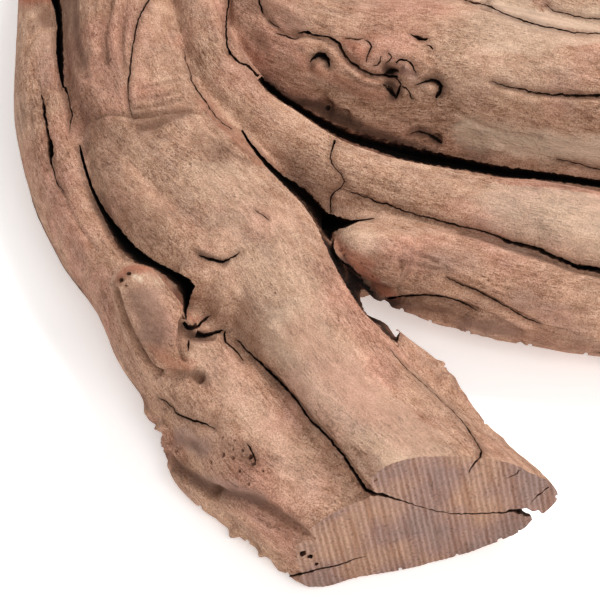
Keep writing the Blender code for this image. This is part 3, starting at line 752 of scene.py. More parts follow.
def smooth_rows(stations, step):
    """Rows along a strand, one step apart: a cubic through every station, whose slope at a
    station is the line between its two neighbours."""
    rows = np.array(stations, float)
    spans = np.linalg.norm(np.diff(rows[:, :3], axis=0), axis=1)
    along = np.concatenate([[0.0], np.cumsum(spans)])
    slope = np.empty_like(rows)
    slope[1:-1] = (rows[2:] - rows[:-2]) / (along[2:] - along[:-2])[:, None]
    slope[0] = (rows[1] - rows[0]) / spans[0]
    slope[-1] = (rows[-1] - rows[-2]) / spans[-1]
    at = np.linspace(0.0, along[-1], max(4, int(along[-1] / step) + 1))
    i = np.clip(np.searchsorted(along, at, side="right") - 1, 0, len(spans) - 1)
    span = spans[i][:, None]
    t = (at - along[i])[:, None] / span
    return (
        (2 * t**3 - 3 * t**2 + 1) * rows[i]
        + (t**3 - 2 * t**2 + t) * span * slope[i]
        + (3 * t**2 - 2 * t**3) * rows[i + 1]
        + (t**3 - t**2) * span * slope[i + 1]
    )


def strand_axes(rows):
    """A strand's tangent, wide and high directions at each of its rows."""
    tangent = unit(np.gradient(rows[:, :3], axis=0))
    side = unit(np.cross([0.0, 0.0, 1.0], tangent))
    top = np.cross(tangent, side)
    roll = np.radians(rows[:, 5:6])
    return tangent, side * np.cos(roll) + top * np.sin(roll), top * np.cos(roll) - side * np.sin(roll)


def strand_surface(stations):
    """A strand as a closed grid. Each ring is a superellipse around a row of the strand, and both
    ends close in a blunt cone."""
    rows = smooth_rows(stations, RING_STEP)
    centre = rows[:, :3]
    tangent, wide, high = strand_axes(rows)
    angle = np.linspace(0.0, 2 * math.pi, RING_SIDES, endpoint=False)
    across = np.sign(np.cos(angle)) * np.abs(np.cos(angle)) ** (2 / SQUARENESS)
    upward = np.sign(np.sin(angle)) * np.abs(np.sin(angle)) ** (2 / SQUARENESS)
    points = (
        centre[:, None]
        + rows[:, 3, None, None] * across[None, :, None] * wide[:, None]
        + rows[:, 4, None, None] * upward[None, :, None] * high[:, None]
    )
    start = centre[0] - 0.6 * rows[0, 3:5].min() * tangent[0]
    end = centre[-1] + 0.6 * rows[-1, 3:5].min() * tangent[-1]
    return tube_mesh(points * MM, start * MM, end * MM)


def tube_mesh(rings, start, end):
    """A closed tube through rings of points (count, sides, 3), with a fan at both ends."""
    count, sides = rings.shape[:2]
    i = np.arange(count - 1)[:, None] * sides
    j = np.arange(sides)[None]
    after = (j + 1) % sides
    quads = np.stack([i + j, i + after, i + sides + after, i + sides + j], -1).reshape(-1, 4)
    j, after = j[0], after[0]
    first = np.full(sides, count * sides)
    last = (count - 1) * sides
    start_fan = np.stack([first, after, j], -1)
    end_fan = np.stack([first + 1, last + j, last + after], -1)
    faces = quads.tolist() + start_fan.tolist() + end_fan.tolist()
    return np.vstack([rings.reshape(-1, 3), start, end]), faces


def mesh_object(name, vertices, faces):
    """A new object at the origin that holds these vertices and faces."""
    mesh = bpy.data.meshes.new(name)
    mesh.from_pydata(vertices, [], faces)
    mesh.update()
    obj = bpy.data.objects.new(name, mesh)
    bpy.context.scene.collection.objects.link(obj)
    return obj


def joined(parts):
    """Several (vertices, faces) pairs as one."""
    vertices, faces, first = [], [], 0
    for part_vertices, part_faces in parts:
        vertices.append(part_vertices)
        faces += [[first + i for i in face] for face in part_faces]
        first += len(part_vertices)
    return np.vstack(vertices), faces


def applied(obj):
    """Replaces the object's mesh by what its modifiers make of it, and drops the modifiers."""
    evaluated = obj.evaluated_get(bpy.context.evaluated_depsgraph_get())
    mesh = bpy.data.meshes.new_from_object(evaluated)
    obj.modifiers.clear()
    old = obj.data
    obj.data = mesh
    bpy.data.meshes.remove(old)


def read(collection, key, width, kind=np.float32):
    """One property of every item of a mesh's collection, as rows of width numbers."""
    values = np.empty(len(collection) * width, kind)
    collection.foreach_get(key, values)
    return values.reshape(-1, width) if width > 1 else values


def set_attribute(mesh, name, values, domain="POINT"):
    """Stores one number, or one vector, for each vertex or face corner."""
    kind, key = ("FLOAT", "value") if values.ndim == 1 else ("FLOAT_VECTOR", "vector")
    attribute = mesh.attributes.get(name) or mesh.attributes.new(name, kind, domain)
    attribute.data.foreach_set(key, np.ascontiguousarray(values, np.float32).ravel())


def signed_volume(mesh):
    """The mesh's volume, which is negative if its faces point inward."""
    mesh.calc_loop_triangles()
    corners = read(mesh.vertices, "co", 3)[read(mesh.loop_triangles, "vertices", 3, np.int32)]
    return np.einsum("ij,ij->i", corners[:, 0], np.cross(corners[:, 1], corners[:, 2])).sum() / 6


def sight(pixels):
    """The unit directions in which the camera sees these pixels."""
    across = (pixels[:, :1] - FRAME_PIXELS / 2) * PIXEL / VIEW_DISTANCE
    upward = (FRAME_PIXELS / 2 - pixels[:, 1:2]) * PIXEL / VIEW_DISTANCE
    return unit(-VIEW_BACK + VIEW_RIGHT * across + VIEW_UP * upward)


def on_wood(tree, pixels):
    """Rays through these pixels: their directions, how far away they meet the wood, and its
    normals there. A ray that misses takes the values of its nearest neighbour that hits."""
    directions = sight(pixels)
    hits = [tree.ray_cast(Vector(VIEW_POINT), Vector(d)) for d in directions]
    reached = np.nonzero([h[0] is not None for h in hits])[0]
    if not len(reached):
        return None
    nearest = [reached[np.abs(reached - i).argmin()] for i in range(len(hits))]
    return directions, np.array([hits[i][3] for i in nearest]), np.array([hits[i][1] for i in nearest])


def along_pixels(rows, step):
    """Rows (u, v, ...) resampled so that they lie one step apart, in pixels."""
    rows = np.array(rows, float)
    spans = np.hypot(*np.diff(rows[:, :2], axis=0).T)
    at = np.concatenate([[0.0], np.cumsum(spans)])
    wanted = np.linspace(0.0, at[-1], max(3, int(at[-1] / step) + 1))
    return np.stack([np.interp(wanted, at, column) for column in rows.T], -1)


class Seen(NamedTuple):
    """The vertices on the camera's side in and near the frame, and just round the outline: their
    indices, pixels and distances, a slow noise that makes the outlines of spots and stains
    uneven, and a share that falls to 0 where the surface turns away from the camera."""

    index: np.ndarray
    pixels: np.ndarray
    distance: np.ndarray
    uneven: np.ndarray
    toward: np.ndarray


def seen_vertices(points, normals):
    """Which vertices the camera may see, and where it sees them."""
    way = points - VIEW_POINT
    depth = -(way @ VIEW_BACK)
    u = FRAME_PIXELS / 2 + (way @ VIEW_RIGHT) / depth * VIEW_DISTANCE / PIXEL
    v = FRAME_PIXELS / 2 - (way @ VIEW_UP) / depth * VIEW_DISTANCE / PIXEL
    away = (unit(way) * normals).sum(1)
    low, high = -SEEN_MARGIN, FRAME_PIXELS + SEEN_MARGIN
    inside = (u > low) & (u < high) & (v > low) & (v < high)
    index = np.nonzero((away < 0.25) & inside)[0]
    uneven = lattice_noise(points[index] / (5.0 * MM), 61)
    uneven += 0.5 * lattice_noise(points[index] / (2.0 * MM), 62)
    toward = fade((0.25 - away[index]) / 0.35)
    return Seen(index, np.stack([u, v], -1)[index], np.linalg.norm(way, axis=1)[index], uneven, toward)


def near_pixels(tree, seen, rows, reach):
    """The seen vertices within reach of a line of pixels, in pixels, on the surface that the line
    lies on: their places in seen, distances, and sides (1 on the line's right, -1 on its left)."""
    line = along_pixels(rows, 5.0)[:, :2] if len(rows) > 1 else np.array([rows[0][:2]], float)
    found = on_wood(tree, line)
    if found is None:
        return np.empty(0, int), np.empty(0), np.empty(0)
    far = found[1]
    inside = ((seen.pixels > line.min(0) - reach) & (seen.pixels < line.max(0) + reach)).all(axis=1)
    inside &= (seen.distance > far.min() - 6.0 * MM) & (seen.distance < far.max() + 6.0 * MM)
    place = np.nonzero(inside)[0]
    pixels = seen.pixels[place]
    best = np.full(len(place), np.inf)
    side = np.zeros(len(place))
    line_far = np.full(len(place), far[0])
    if len(line) == 1:
        best = np.hypot(*(pixels - line[0]).T)
    for k in range(len(line) - 1):
        way = line[k + 1] - line[k]
        offset = pixels - line[k]
        t = np.clip((offset @ way) / max(way @ way, 1e-9), 0.0, 1.0)
        distance = np.hypot(*(offset - t[:, None] * way).T)
        closer = distance < best
        best[closer] = distance[closer]
        side[closer] = np.sign(way[0] * offset[closer, 1] - way[1] * offset[closer, 0])
        line_far[closer] = (far[k] + t * (far[k + 1] - far[k]))[closer]
    close = (best < reach) & (np.abs(seen.distance[place] - line_far) < 8.0 * MM)
    return place[close], best[close], side[close]


def wood_tree(obj):
    """The object's faces, ready for rays."""
    return BVHTree.FromObject(obj, bpy.context.evaluated_depsgraph_get())


def grain_coordinates(points):
    """For each grain strand, each point's place in millimetres along, across and up from the
    strand's line, and how closely the strand holds it: 1 on its own surface, less further out."""
    found = []
    at_once = 60_000
    for stations in GRAIN_STRANDS:
        rows = smooth_rows(stations, 3.0)
        tangent, wide, high = strand_axes(rows)
        centre = rows[:, :3].astype(np.float32)
        along = np.concatenate([[0.0], np.cumsum(np.linalg.norm(np.diff(rows[:, :3], axis=0), axis=1))])
        places = np.empty((len(points), 3), np.float32)
        hold = np.empty(len(points), np.float32)
        for first in range(0, len(points), at_once):
            part = points[first : first + at_once] / MM
            square = (centre**2).sum(1)[None] - 2.0 * part @ centre.T
            i = square.argmin(axis=1)
            way = part - centre[i]
            s = (way * tangent[i]).sum(1)
            a = (way * wide[i]).sum(1)
            b = (way * high[i]).sum(1)
            beyond = np.where((i == 0) | (i == len(rows) - 1), s, 0.0) / rows[i, 3]
            reach = np.sqrt((a / rows[i, 3]) ** 2 + (b / rows[i, 4]) ** 2 + beyond**2)
            places[first : first + at_once] = np.stack([along[i] + s, a, b], -1)
            hold[first : first + at_once] = 1.0 / np.maximum(reach, 0.2) ** 6
        found.append((places, hold))
    return found


def grain_noise(coordinates, lengths, seed):
    """Noise drawn out along the grain: lengths are its size along and across the grain in
    millimetres. Where strands meet, their noises are blended by how closely each holds."""
    size = np.array([lengths[0], lengths[1], lengths[1]], np.float32)
    total = np.zeros(len(coordinates[0][1]), np.float32)
    weight = np.zeros_like(total)
    strongest = np.max([hold for _, hold in coordinates], axis=0)
    for k, (places, hold) in enumerate(coordinates):
        near = hold > 0.15 * strongest
        total[near] += hold[near] * lattice_noise(places[near] / size + 17.3 * k, seed)
        weight[near] += hold[near]
    return total / weight


def fused_strands():
    """All strands as one closed surface, smoothed so that no voxel steps remain."""
    parts = [strand_surface(stations) for stations in GRAIN_STRANDS + FILLING_STRANDS]
    wood = mesh_object("manzanita_wood", *joined(parts))
    fuse = wood.modifiers.new("fuse", "REMESH")
    fuse.mode = "VOXEL"
    fuse.voxel_size = VOXEL
    relax = wood.modifiers.new("relax", "SMOOTH")
    relax.factor = 0.5
    relax.iterations = SMOOTH_ROUNDS
    applied(wood)
    return wood


def named_relief(tree, seen, lift, painted_hollow_shade):
    """Adds the photo's own spots, furrows and sunken crack sides to lift, in millimetres, and
    painted shade in their low parts and beside the cracks to hollow."""
    # Painted shade: dents and furrows darken by a share of their depth, the last number of each.
    features = [(height, radius, [(u, v)], -0.2) for u, v, radius, height in SPOTS]
    features += [(-depth, half_width, rows, -0.25) for depth, half_width, rows in FURROWS]
    for height, reach, rows, dirt_and_shade in features:
        place, distance, _ = near_pixels(tree, seen, rows, reach * 1.3)
        share = distance / reach * (1.0 + 0.16 * seen.uneven[place])
        lift[seen.index[place]] += height * fade(1.0 - share)
        painted_hollow_shade[seen.index[place]] += max(0.0, dirt_and_shade * height) * fade(1.0 - share)
    for crack in CRACKS.values():
        width = max(row[2] for row in crack.rows)
        reach = 4.0 + 1.6 * width
        place, distance, side = near_pixels(tree, seen, crack.rows, reach)
        nearness = fade(1.0 - distance / reach)
        lift[seen.index[place]] -= (0.07 * width + 0.06) * nearness**2
        lift[seen.index[place]] -= crack.step * nearness * (side > 0)
        # Painted shade beside each crack.
        painted_hollow_shade[seen.index[place]] += 0.10 * nearness**2


def soft_relief(wood):
    """Moves the surface along its normals, by slow waves that follow the grain and by the named
    spots and furrows, each a smooth hump or valley across its own width."""
    mesh = wood.data
    points, normals = read(mesh.vertices, "co", 3), read(mesh.vertex_normals, "vector", 3)
    tree = wood_tree(wood)
    coordinates = grain_coordinates(points)
    seen = seen_vertices(points, normals)
    in_photo = np.zeros(len(points), bool)
    framed = (seen.pixels > -PHOTO_MARGIN) & (seen.pixels < FRAME_PIXELS + PHOTO_MARGIN)
    in_photo[seen.index[framed.all(axis=1)]] = True
    calm = np.where(in_photo, 0.6, 1.0)
    pebbly = np.ones(len(points))
    for u, v, radius, more in PEBBLY:
        place, distance, _ = near_pixels(tree, seen, [(u, v)], radius)
        pebbly[seen.index[place]] += more * fade(1.5 * (1.0 - distance / radius))

    lift = 0.55 * grain_noise(coordinates, (34, 13), 1)
    lift += 0.30 * grain_noise(coordinates, (22, 5.5), 2) * calm
    ridges = 1.0 - np.abs(grain_noise(coordinates, (30, 3.4), 3)) * 2.0
    lift += 0.18 * (ridges - 0.5) * calm
    lift += 0.10 * grain_noise(coordinates, (5.5, 2.2), 4) * pebbly
    lift += 0.06 * grain_noise(coordinates, (2.4, 1.4), 5) * pebbly
    broken = 0.8 - 2.4 * np.abs(grain_noise(coordinates, (11.0, 6.0), 6))
    broken += 0.8 * grain_noise(coordinates, (3.0, 1.8), 7)
    for half_width, height, rows in RAGGED:
        place, distance, _ = near_pixels(tree, seen, rows, half_width)
        chosen = seen.index[place]
        lift[chosen] += height * broken[chosen] * fade(1.5 * (1.0 - distance / half_width))
    # Painted shade in the valleys between the grain's ridges.
    painted_hollow_shade = np.clip(0.5 - ridges, 0.0, 1.0) * 0.2
    named_relief(tree, seen, lift, painted_hollow_shade)

    points += normals * (lift * MM)[:, None]
    mesh.vertices.foreach_set("co", points.ravel())
    mesh.update()
    set_attribute(mesh, "painted_hollow_shade", np.clip(painted_hollow_shade, 0.0, 1.0))
    return in_photo


def thinned(wood, in_photo):
    """Fewer triangles, with more of them kept on the side that is seen."""
    faces = 2 * len(wood.data.polygons)
    seen_faces = faces * in_photo.mean()
    for name, chosen in (("hidden_side", ~in_photo), ("seen_side", in_photo)):
        group = wood.vertex_groups.new(name=name)
        group.add(np.nonzero(chosen)[0].tolist(), 1.0, "REPLACE")
    steps = (
        ("hidden_side", (seen_faces + HIDDEN_TRIANGLES) / faces),
        ("seen_side", (SEEN_TRIANGLES + HIDDEN_TRIANGLES) / (seen_faces + HIDDEN_TRIANGLES)),
    )
    for name, ratio in steps:
        thin = wood.modifiers.new(name, "DECIMATE")
        thin.ratio = min(1.0, ratio)
        thin.vertex_group = name
        thin.vertex_group_factor = 1.0
    applied(wood)
    wood.vertex_groups.clear()


def cut_out(wood, name, vertices, faces, material):
    """Takes a closed shape off the wood. The cut's own walls get the given material."""
    cutter = mesh_object(name, vertices, faces)
    if signed_volume(cutter.data) < 0:
        cutter.data.flip_normals()
    cutter.data.materials.append(material)
    set_attribute(cutter.data, "painted_hollow_shade", np.zeros(len(vertices)))
    boolean = wood.modifiers.new(name, "BOOLEAN")
    boolean.operation = "DIFFERENCE"
    boolean.object = cutter
    boolean.solver = "MANIFOLD"
    boolean.material_mode = "TRANSFER"
    applied(wood)
    bpy.data.objects.remove(cutter)


def slab(front, push):
    """A grid of points as the front of a solid block that reaches push beyond it."""
    rows, columns = front.shape[:2]
    i = np.arange(rows - 1)[:, None] * columns
    j = np.arange(columns - 1)[None]
    front_faces = np.stack([i + j, i + j + 1, i + columns + j + 1, i + columns + j], -1).reshape(-1, 4)
    count = rows * columns
    back_faces = front_faces[:, ::-1] + count
    top, bottom = np.arange(columns), (rows - 1) * columns + np.arange(columns)
    left, right = np.arange(rows) * columns, np.arange(rows) * columns + columns - 1
    rim = np.concatenate([top, right[1:], bottom[::-1][1:], left[::-1][1:-1]])
    after = np.roll(rim, -1)
    walls = np.stack([after, rim, rim + count, after + count], -1)
    vertices = np.vstack([front.reshape(-1, 3), front.reshape(-1, 3) + push])
    return vertices, front_faces.tolist() + back_faces.tolist() + walls.tolist()


def saw_foot(wood, sawn):
    """Cuts the foot with a block whose front carries the saw's marks: a wave across the face,
    one crest per kerf, that slants a little and is uneven from tooth to tooth."""
    across = np.arange(-48.0, 46.0, 0.28)
    height = np.arange(-6.0, 46.0, 1.3)
    q, z = np.meshgrid(across, height, indexing="ij")
    phase = (q - KERF_SLANT * z) / KERF_SPACING
    flat = np.stack([q.ravel(), z.ravel(), np.zeros(q.size)], -1)
    wander = lattice_noise(flat / (9.0, 30.0, 1.0), 21).reshape(q.shape)
    uneven = 0.8 + 0.7 * lattice_noise(flat / (3.0, 12.0, 1.0), 22).reshape(q.shape)
    waves = lattice_noise(flat / (11.0, 13.0, 1.0), 23).reshape(q.shape)
    depth = KERF_DEPTH * uneven * np.sin(2 * math.pi * (phase + 0.35 * wander)) + 0.22 * waves
    front = (
        SAW_POINT
        + (q * MM)[..., None] * SAW_ACROSS
        + (z * MM)[..., None] * np.array([0.0, 0.0, 1.0])
        + (depth * MM)[..., None] * SAW_OUTWARD
    )
    cut_out(wood, "saw_block", *slab(front, 0.05 * SAW_OUTWARD), sawn)


def flatten_rests(wood, weathered):
    """Cuts the wood off at the floor, where it rests."""
    reach = 0.3
    back = [[-reach, reach, 0.0], [reach, reach, 0.0]]
    front = [[-reach, -reach, 0.0], [reach, -reach, 0.0]]
    block = slab(np.array([back, front]), np.array([0.0, 0.0, -0.1]))
    cut_out(wood, "floor_block", *block, weathered)


# A wedge's section: how far down the crack, and how wide it still is there.
WEDGE_SECTION = ((0.0, 1.0), (0.10, 0.88), (0.30, 0.72), (0.60, 0.48), (1.0, 0.12))


def wedge(points, inward, across, depth, above, seed, lean=0.0):
    """The solid of a crack along points on the wood: a leaf-shaped section that narrows on its
    way in, straight down or leaning to one wall. across is half the crack's width. Both walls
    are ragged by noise along the crack."""
    count = len(points)
    half = np.linalg.norm(across, axis=1, keepdims=True)
    sideways = across / half
    at = np.arange(count)
    above = np.broadcast_to(above, count)[:, None]
    walls = []
    for out, side in ((0, -1.0), (1, 1.0)):
        levels = [points - inward * above + side * sideways * half * 1.05]
        for k, (down, width) in enumerate(WEDGE_SECTION):
            walk = np.stack([at / 4.0, np.full(count, 0.45 * k), np.full(count, 9.0 * out)], -1)
            ragged = 1.0 + 0.40 * lattice_noise(walk, seed) + 0.3 * lattice_noise(walk * 2.7, seed + 50)
            shift = 0.16 * MM * lattice_noise(walk * 1.3, seed + 100) + lean * (1.0 - width) * half[:, 0]
            reach = side * np.minimum(half[:, 0] * width * ragged, half[:, 0] * width + 0.25 * MM) + shift
            levels.append(points + inward * (down * depth)[:, None] + sideways * reach[:, None])
        walls.append(np.stack(levels, axis=1))
    rings = np.concatenate([walls[0], walls[1][:, ::-1]], axis=1)
    return tube_mesh(rings, rings[0].mean(0), rings[-1].mean(0))


def wandering(rows, seed):
    """Crack rows (u, v, width) whose line strays by about a pixel and whose width varies."""
    way = np.gradient(rows[:, :2], axis=0)
    normal = np.stack([-way[:, 1], way[:, 0]], -1) / np.maximum(np.hypot(*way.T), 1e-6)[:, None]
    walk = np.stack([np.arange(len(rows)) * 0.22, np.zeros(len(rows)), np.zeros(len(rows))], -1)
    stray = 1.1 * lattice_noise(walk, seed) + 0.7 * lattice_noise(walk * 2.9, seed + 9)
    width = rows[:, 2] * (1.0 + 0.6 * lattice_noise(walk * 1.4, seed + 18)).clip(0.35)
    return np.hstack([rows[:, :2] + normal * stray[:, None], width[:, None]])


def crack_solid(tree, crack, seed):
    """The wedge of a crack in the photo: it leans from the camera's ray towards the wood."""
    rows = wandering(along_pixels(crack.rows, 1.6), seed)
    found = on_wood(tree, rows[:, :2])
    if found is None:
        return None
    directions, far, normals = found
    far = eased(np.minimum(far, np.minimum(np.roll(far, 1), np.roll(far, -1)) + 0.002), 3)
    points = VIEW_POINT + directions * far[:, None]
    inward = unit(eased(unit(0.75 * directions - 0.25 * unit(normals)), 6))
    across = unit(np.cross(np.gradient(eased(points, 3), axis=0), inward)) * (0.5 * rows[:, 2:] * PIXEL)
    depth = crack.depth * MM * np.sqrt(rows[:, 2] / rows[:, 2].max())
    return wedge(points, inward, across, depth, 0.0015, seed)


def gap_solid(tree, gap, seed):
    """The wedge of a gap in the photo: it goes straight along the camera's rays, so that its
    edges stay on their pixels, from in front of the nearest wood to below the farthest, but not
    down to the floor."""
    edges = np.array(gap.edges, float)
    middle = 0.5 * (edges[:, :2] + edges[:, 2:])
    rows = along_pixels(np.hstack([middle, edges]), 1.6)
    found = [on_wood(tree, rows[:, k : k + 2]) for k in (0, 2, 4)]
    if any(hit is None for hit in found):
        return None
    nearby = np.clip(np.arange(len(rows)) + np.arange(-4, 5)[:, None], 0, len(rows) - 1)
    window = np.concatenate([far[nearby] for _, far, _ in found])
    deep = eased(np.percentile(window, 85, axis=0), 20)
    near = eased(window.min(axis=0), 4)
    directions = found[0][0]
    points = VIEW_POINT + directions * deep[:, None]
    across = 0.5 * deep[:, None] * (sight(rows[:, 4:6]) - sight(rows[:, 2:4]))
    width = np.linalg.norm(across, axis=1)
    depth = gap.depth * MM * np.minimum(1.0, 0.35 + 0.65 * width / (1.4 * MM))
    room = (points[:, 2] - 5.0 * MM) / -directions[:, 2]
    depth = np.minimum(depth, np.maximum(room, 0.5 * MM))
    return wedge(points, directions, across, depth, deep - near + 0.004, seed, gap.lean)


def grain_crack_solid(tree, crack, seed):
    """The wedge of a crack along a strand: rays from outside the strand towards its line find
    the wood, at an angle that wanders as the grain does."""
    rows = smooth_rows(crack.strand, 1.0)
    rows = rows[int(crack.start * len(rows)) : int(crack.end * len(rows))]
    tangent, wide, high = strand_axes(rows)
    count = len(rows)
    walk = np.stack([np.arange(count) / 22.0, np.zeros(count), np.zeros(count)], -1)
    slow, fast = lattice_noise(walk, seed), lattice_noise(walk * 4.0, seed)
    angle = (np.radians(crack.angle) + 0.35 * slow + 0.10 * fast)[:, None]
    outward = np.cos(angle) * wide + np.sin(angle) * high
    starts = (rows[:, :3] + outward * (rows[:, 3:5].max(1)[:, None] + 12.0)) * MM
    hits = [tree.ray_cast(Vector(s), Vector(-o)) for s, o in zip(starts, outward)]
    if any(h[0] is None for h in hits):
        return None
    points = eased(np.array([h[0] for h in hits]), 8)
    taper = np.sin(np.pi * np.linspace(0.06, 0.94, count)) ** 0.6
    width = crack.width * (taper * (1.0 + 0.4 * lattice_noise(walk * 3.0, seed + 7))).clip(0.15)
    across = unit(np.cross(np.gradient(points, axis=0), -outward)) * (0.5 * width * MM)[:, None]
    depth = 4.0 * MM * taper
    return wedge(points, -outward, across, depth, 0.0015, seed)


def bead(centre, inward, radius, depth, seed):
    """A pit's solid: a ball drawn out along inward, lumpy by noise."""
    turns, bands = 14, 9
    theta = np.linspace(0, 2 * math.pi, turns, endpoint=False)[None]
    phi = np.linspace(0, math.pi, bands + 2)[1:-1, None]
    ball = np.stack([np.sin(phi) * np.cos(theta), np.sin(phi) * np.sin(theta), np.cos(phi) + 0 * theta], -1)
    poles = np.array([[0.0, 0.0, 1.0], [0.0, 0.0, -1.0]])
    shape = np.concatenate([ball.reshape(-1, 3), poles])
    shape *= (1.0 + 0.5 * lattice_noise(shape * 1.2 + 5.0, seed))[:, None]
    side = unit(np.cross(inward, [0.31, 0.9, 0.2]))
    other = np.cross(inward, side)
    shape = centre + (shape[:, :1] * side + shape[:, 1:2] * other) * radius + shape[:, 2:] * inward * depth
    return tube_mesh(shape[:-2].reshape(bands, turns, 3), shape[-2], shape[-1])


def pit_beads(tree, pits):
    """The solids of worm holes or pits."""
    beads = []
    for k, (u, v, radius, depth) in enumerate(pits):
        found = on_wood(tree, np.array([[u, v]], float))
        if found is not None:
            direction, far, normal = (part[0] for part in found)
            inward = unit(direction - unit(normal))
            beads.append(bead(VIEW_POINT + direction * far, inward, radius * PIXEL, depth * MM, 300 + k))
    return beads


def chip_beads(tree):
    """The solids of the chips: each is found by going from its pixel to the outline, and is
    drawn out along the line of sight, so that it breaks through the edge."""
    beads = []
    for k, (u, v, toward_u, toward_v, radius) in enumerate(CHIPS):
        pixels = np.array([u, v]) + np.arange(0.0, 24.0, 0.5)[:, None] * np.array([toward_u, toward_v])
        hits = [tree.ray_cast(Vector(VIEW_POINT), Vector(d)) for d in sight(pixels)]
        last = next((i for i, hit in enumerate(hits) if hit[0] is None), 0) - 1
        if last > 0:
            centre = np.array(hits[last][0])
            beads.append(bead(centre, sight(pixels[last : last + 1])[0], radius * PIXEL, 7.0 * MM, 500 + k))
    return beads


def cut_beads(wood, name, beads, material):
    """Cuts the beads in two rounds, so that neighbours can touch."""
    for half in (0, 1):
        cut_out(wood, f"{name}_{half}", *joined(beads[half::2]), material)


def cut_cracks(wood, weathered, dark):
    """Cuts the gaps one by one, then the cracks, the chipped edges, the worm holes, which are
    dark inside, and the shallow pits, which aren't."""
    for seed, (name, gap) in enumerate(GAPS.items()):
        shape = gap_solid(wood_tree(wood), gap, seed)
        if shape:
            cut_out(wood, name, *shape, dark)
    tree = wood_tree(wood)
    for seed, (name, crack) in enumerate(CRACKS.items()):
        shape = crack_solid(tree, crack, 20 + seed)
        if shape:
            cut_out(wood, name, *shape, dark)
    for seed, crack in enumerate(GRAIN_CRACKS):
        shape = grain_crack_solid(tree, crack, 80 + seed)
        if shape:
            cut_out(wood, f"grain_crack_{seed}", *shape, dark)
    cut_beads(wood, "chips", chip_beads(wood_tree(wood)), weathered)
    holes = [pit for pit in PITS if pit[3] > PIT_DEPTH]
    shallow = [pit for pit in PITS if pit[3] <= PIT_DEPTH]
    cut_beads(wood, "holes", pit_beads(wood_tree(wood), holes), dark)
    cut_beads(wood, "pits", pit_beads(wood_tree(wood), shallow), weathered)


def drop_splinters(mesh):
    """Keeps only the shell with the most vertices. Each vertex takes the lowest number found
    along its edges until nothing changes, so that a shell ends up with one number."""
    ends = read(mesh.edges, "vertices", 2, np.int32)
    shell = np.arange(len(mesh.vertices))
    while True:
        lowest = shell.copy()
        for a, b in (ends.T, ends.T[::-1]):
            np.minimum.at(lowest, a, shell[b])
        lowest = lowest[lowest]
        if (lowest == shell).all():
            break
        shell = lowest
    loose = np.nonzero(shell != np.bincount(shell).argmax())[0]
    edited = bmesh.new()
    edited.from_mesh(mesh)
    edited.verts.ensure_lookup_table()
    bmesh.ops.delete(edited, geom=[edited.verts[i] for i in loose], context="VERTS")
    edited.to_mesh(mesh)
    edited.free()


def without_slivers(wood):
    """Merges the narrow triangles that the cuts leave, down to ALL_TRIANGLES."""
    sides = read(wood.data.polygons, "loop_total", 1, np.int32)
    thin = wood.modifiers.new("without_slivers", "DECIMATE")
    thin.ratio = min(1.0, ALL_TRIANGLES / (sides - 2).sum())
    applied(wood)


def set_grain(mesh, points):
    """Stores for each face corner where it lies in the grain of the strand that its face belongs
    to, in metres, so that no texture is stretched between two strands."""
    coordinates = grain_coordinates(points)
    places = np.stack([places for places, _ in coordinates])
    strongest = np.argmax([hold for _, hold in coordinates], axis=0)
    corner_vertex = read(mesh.loops, "vertex_index", 1, np.int32)
    first_corner = read(mesh.polygons, "loop_start", 1, np.int32)
    corner_count = read(mesh.polygons, "loop_total", 1, np.int32)
    strand = np.repeat(strongest[corner_vertex[first_corner]], corner_count)
    set_attribute(mesh, "grain", places[strand, corner_vertex] * MM + 0.2 * strand[:, None], "CORNER")


def set_stains(wood, points, normals, uncut):
    """Stores how far each vertex lies below the uncut surface, how much of each stain kind lies
    on it, and the painted shade beside the crack walls. Of the stain kinds, the brown and the
    darkest are painted shade, wholly or in part, and the pale one is partly painted light.
    """
    mesh = wood.data
    seen = seen_vertices(points, normals)
    tree = wood_tree(wood)
    for kind, stains in STAINS.items():
        amount = np.zeros(len(points))
        for strength, half_width, rows in stains:
            place, distance, _ = near_pixels(tree, seen, rows, half_width * 1.5)
            share = distance / half_width * (1.0 + 0.4 * seen.uneven[place])
            chosen = seen.index[place]
            cover = strength * seen.toward[place] * fade(1.3 * (1.0 - share))
            amount[chosen] = np.maximum(amount[chosen], cover)
        set_attribute(mesh, kind, amount)
    material = read(mesh.polygons, "material_index", 1, np.int32)
    dark_slot = mesh.materials.find("crack_walls")
    centres = read(mesh.polygons, "center", 3)[material == dark_slot]
    nearest_dark = KDTree(len(centres))
    for i, centre in enumerate(centres):
        nearest_dark.insert(centre, i)
    nearest_dark.balance()
    edge = np.array([nearest_dark.find(point)[2] for point in points])
    sunk = np.array([uncut.find_nearest(Vector(point))[3] for point in points])
    # Painted shade: the wood darkens within 1.6 mm of a crack wall, and the walls darken the deeper they
    # lie.
    set_attribute(mesh, "painted_crack_lip_shade", fade(1.0 - edge / (1.6 * MM)))
    set_attribute(mesh, "sunk", np.clip(sunk / (6.0 * MM), 0.0, 1.0))


def build_wood(weathered, sawn, dark):
    """The finished branch."""
    wood = fused_strands()
    thinned(wood, soft_relief(wood))
    wood.data.materials.clear()
    wood.data.materials.append(weathered)
    saw_foot(wood, sawn)
    flatten_rests(wood, weathered)
    uncut = wood_tree(wood)
    cut_cracks(wood, weathered, dark)
    drop_splinters(wood.data)
    without_slivers(wood)
    mesh = wood.data
    points, normals = read(mesh.vertices, "co", 3), read(mesh.vertex_normals, "vector", 3)
    set_grain(mesh, points)
    set_stains(wood, points, normals, uncut)
    mesh.polygons.foreach_set("use_smooth", np.ones(len(mesh.polygons), bool))
    mesh.set_sharp_from_angle(angle=math.radians(48.0))
    return wood


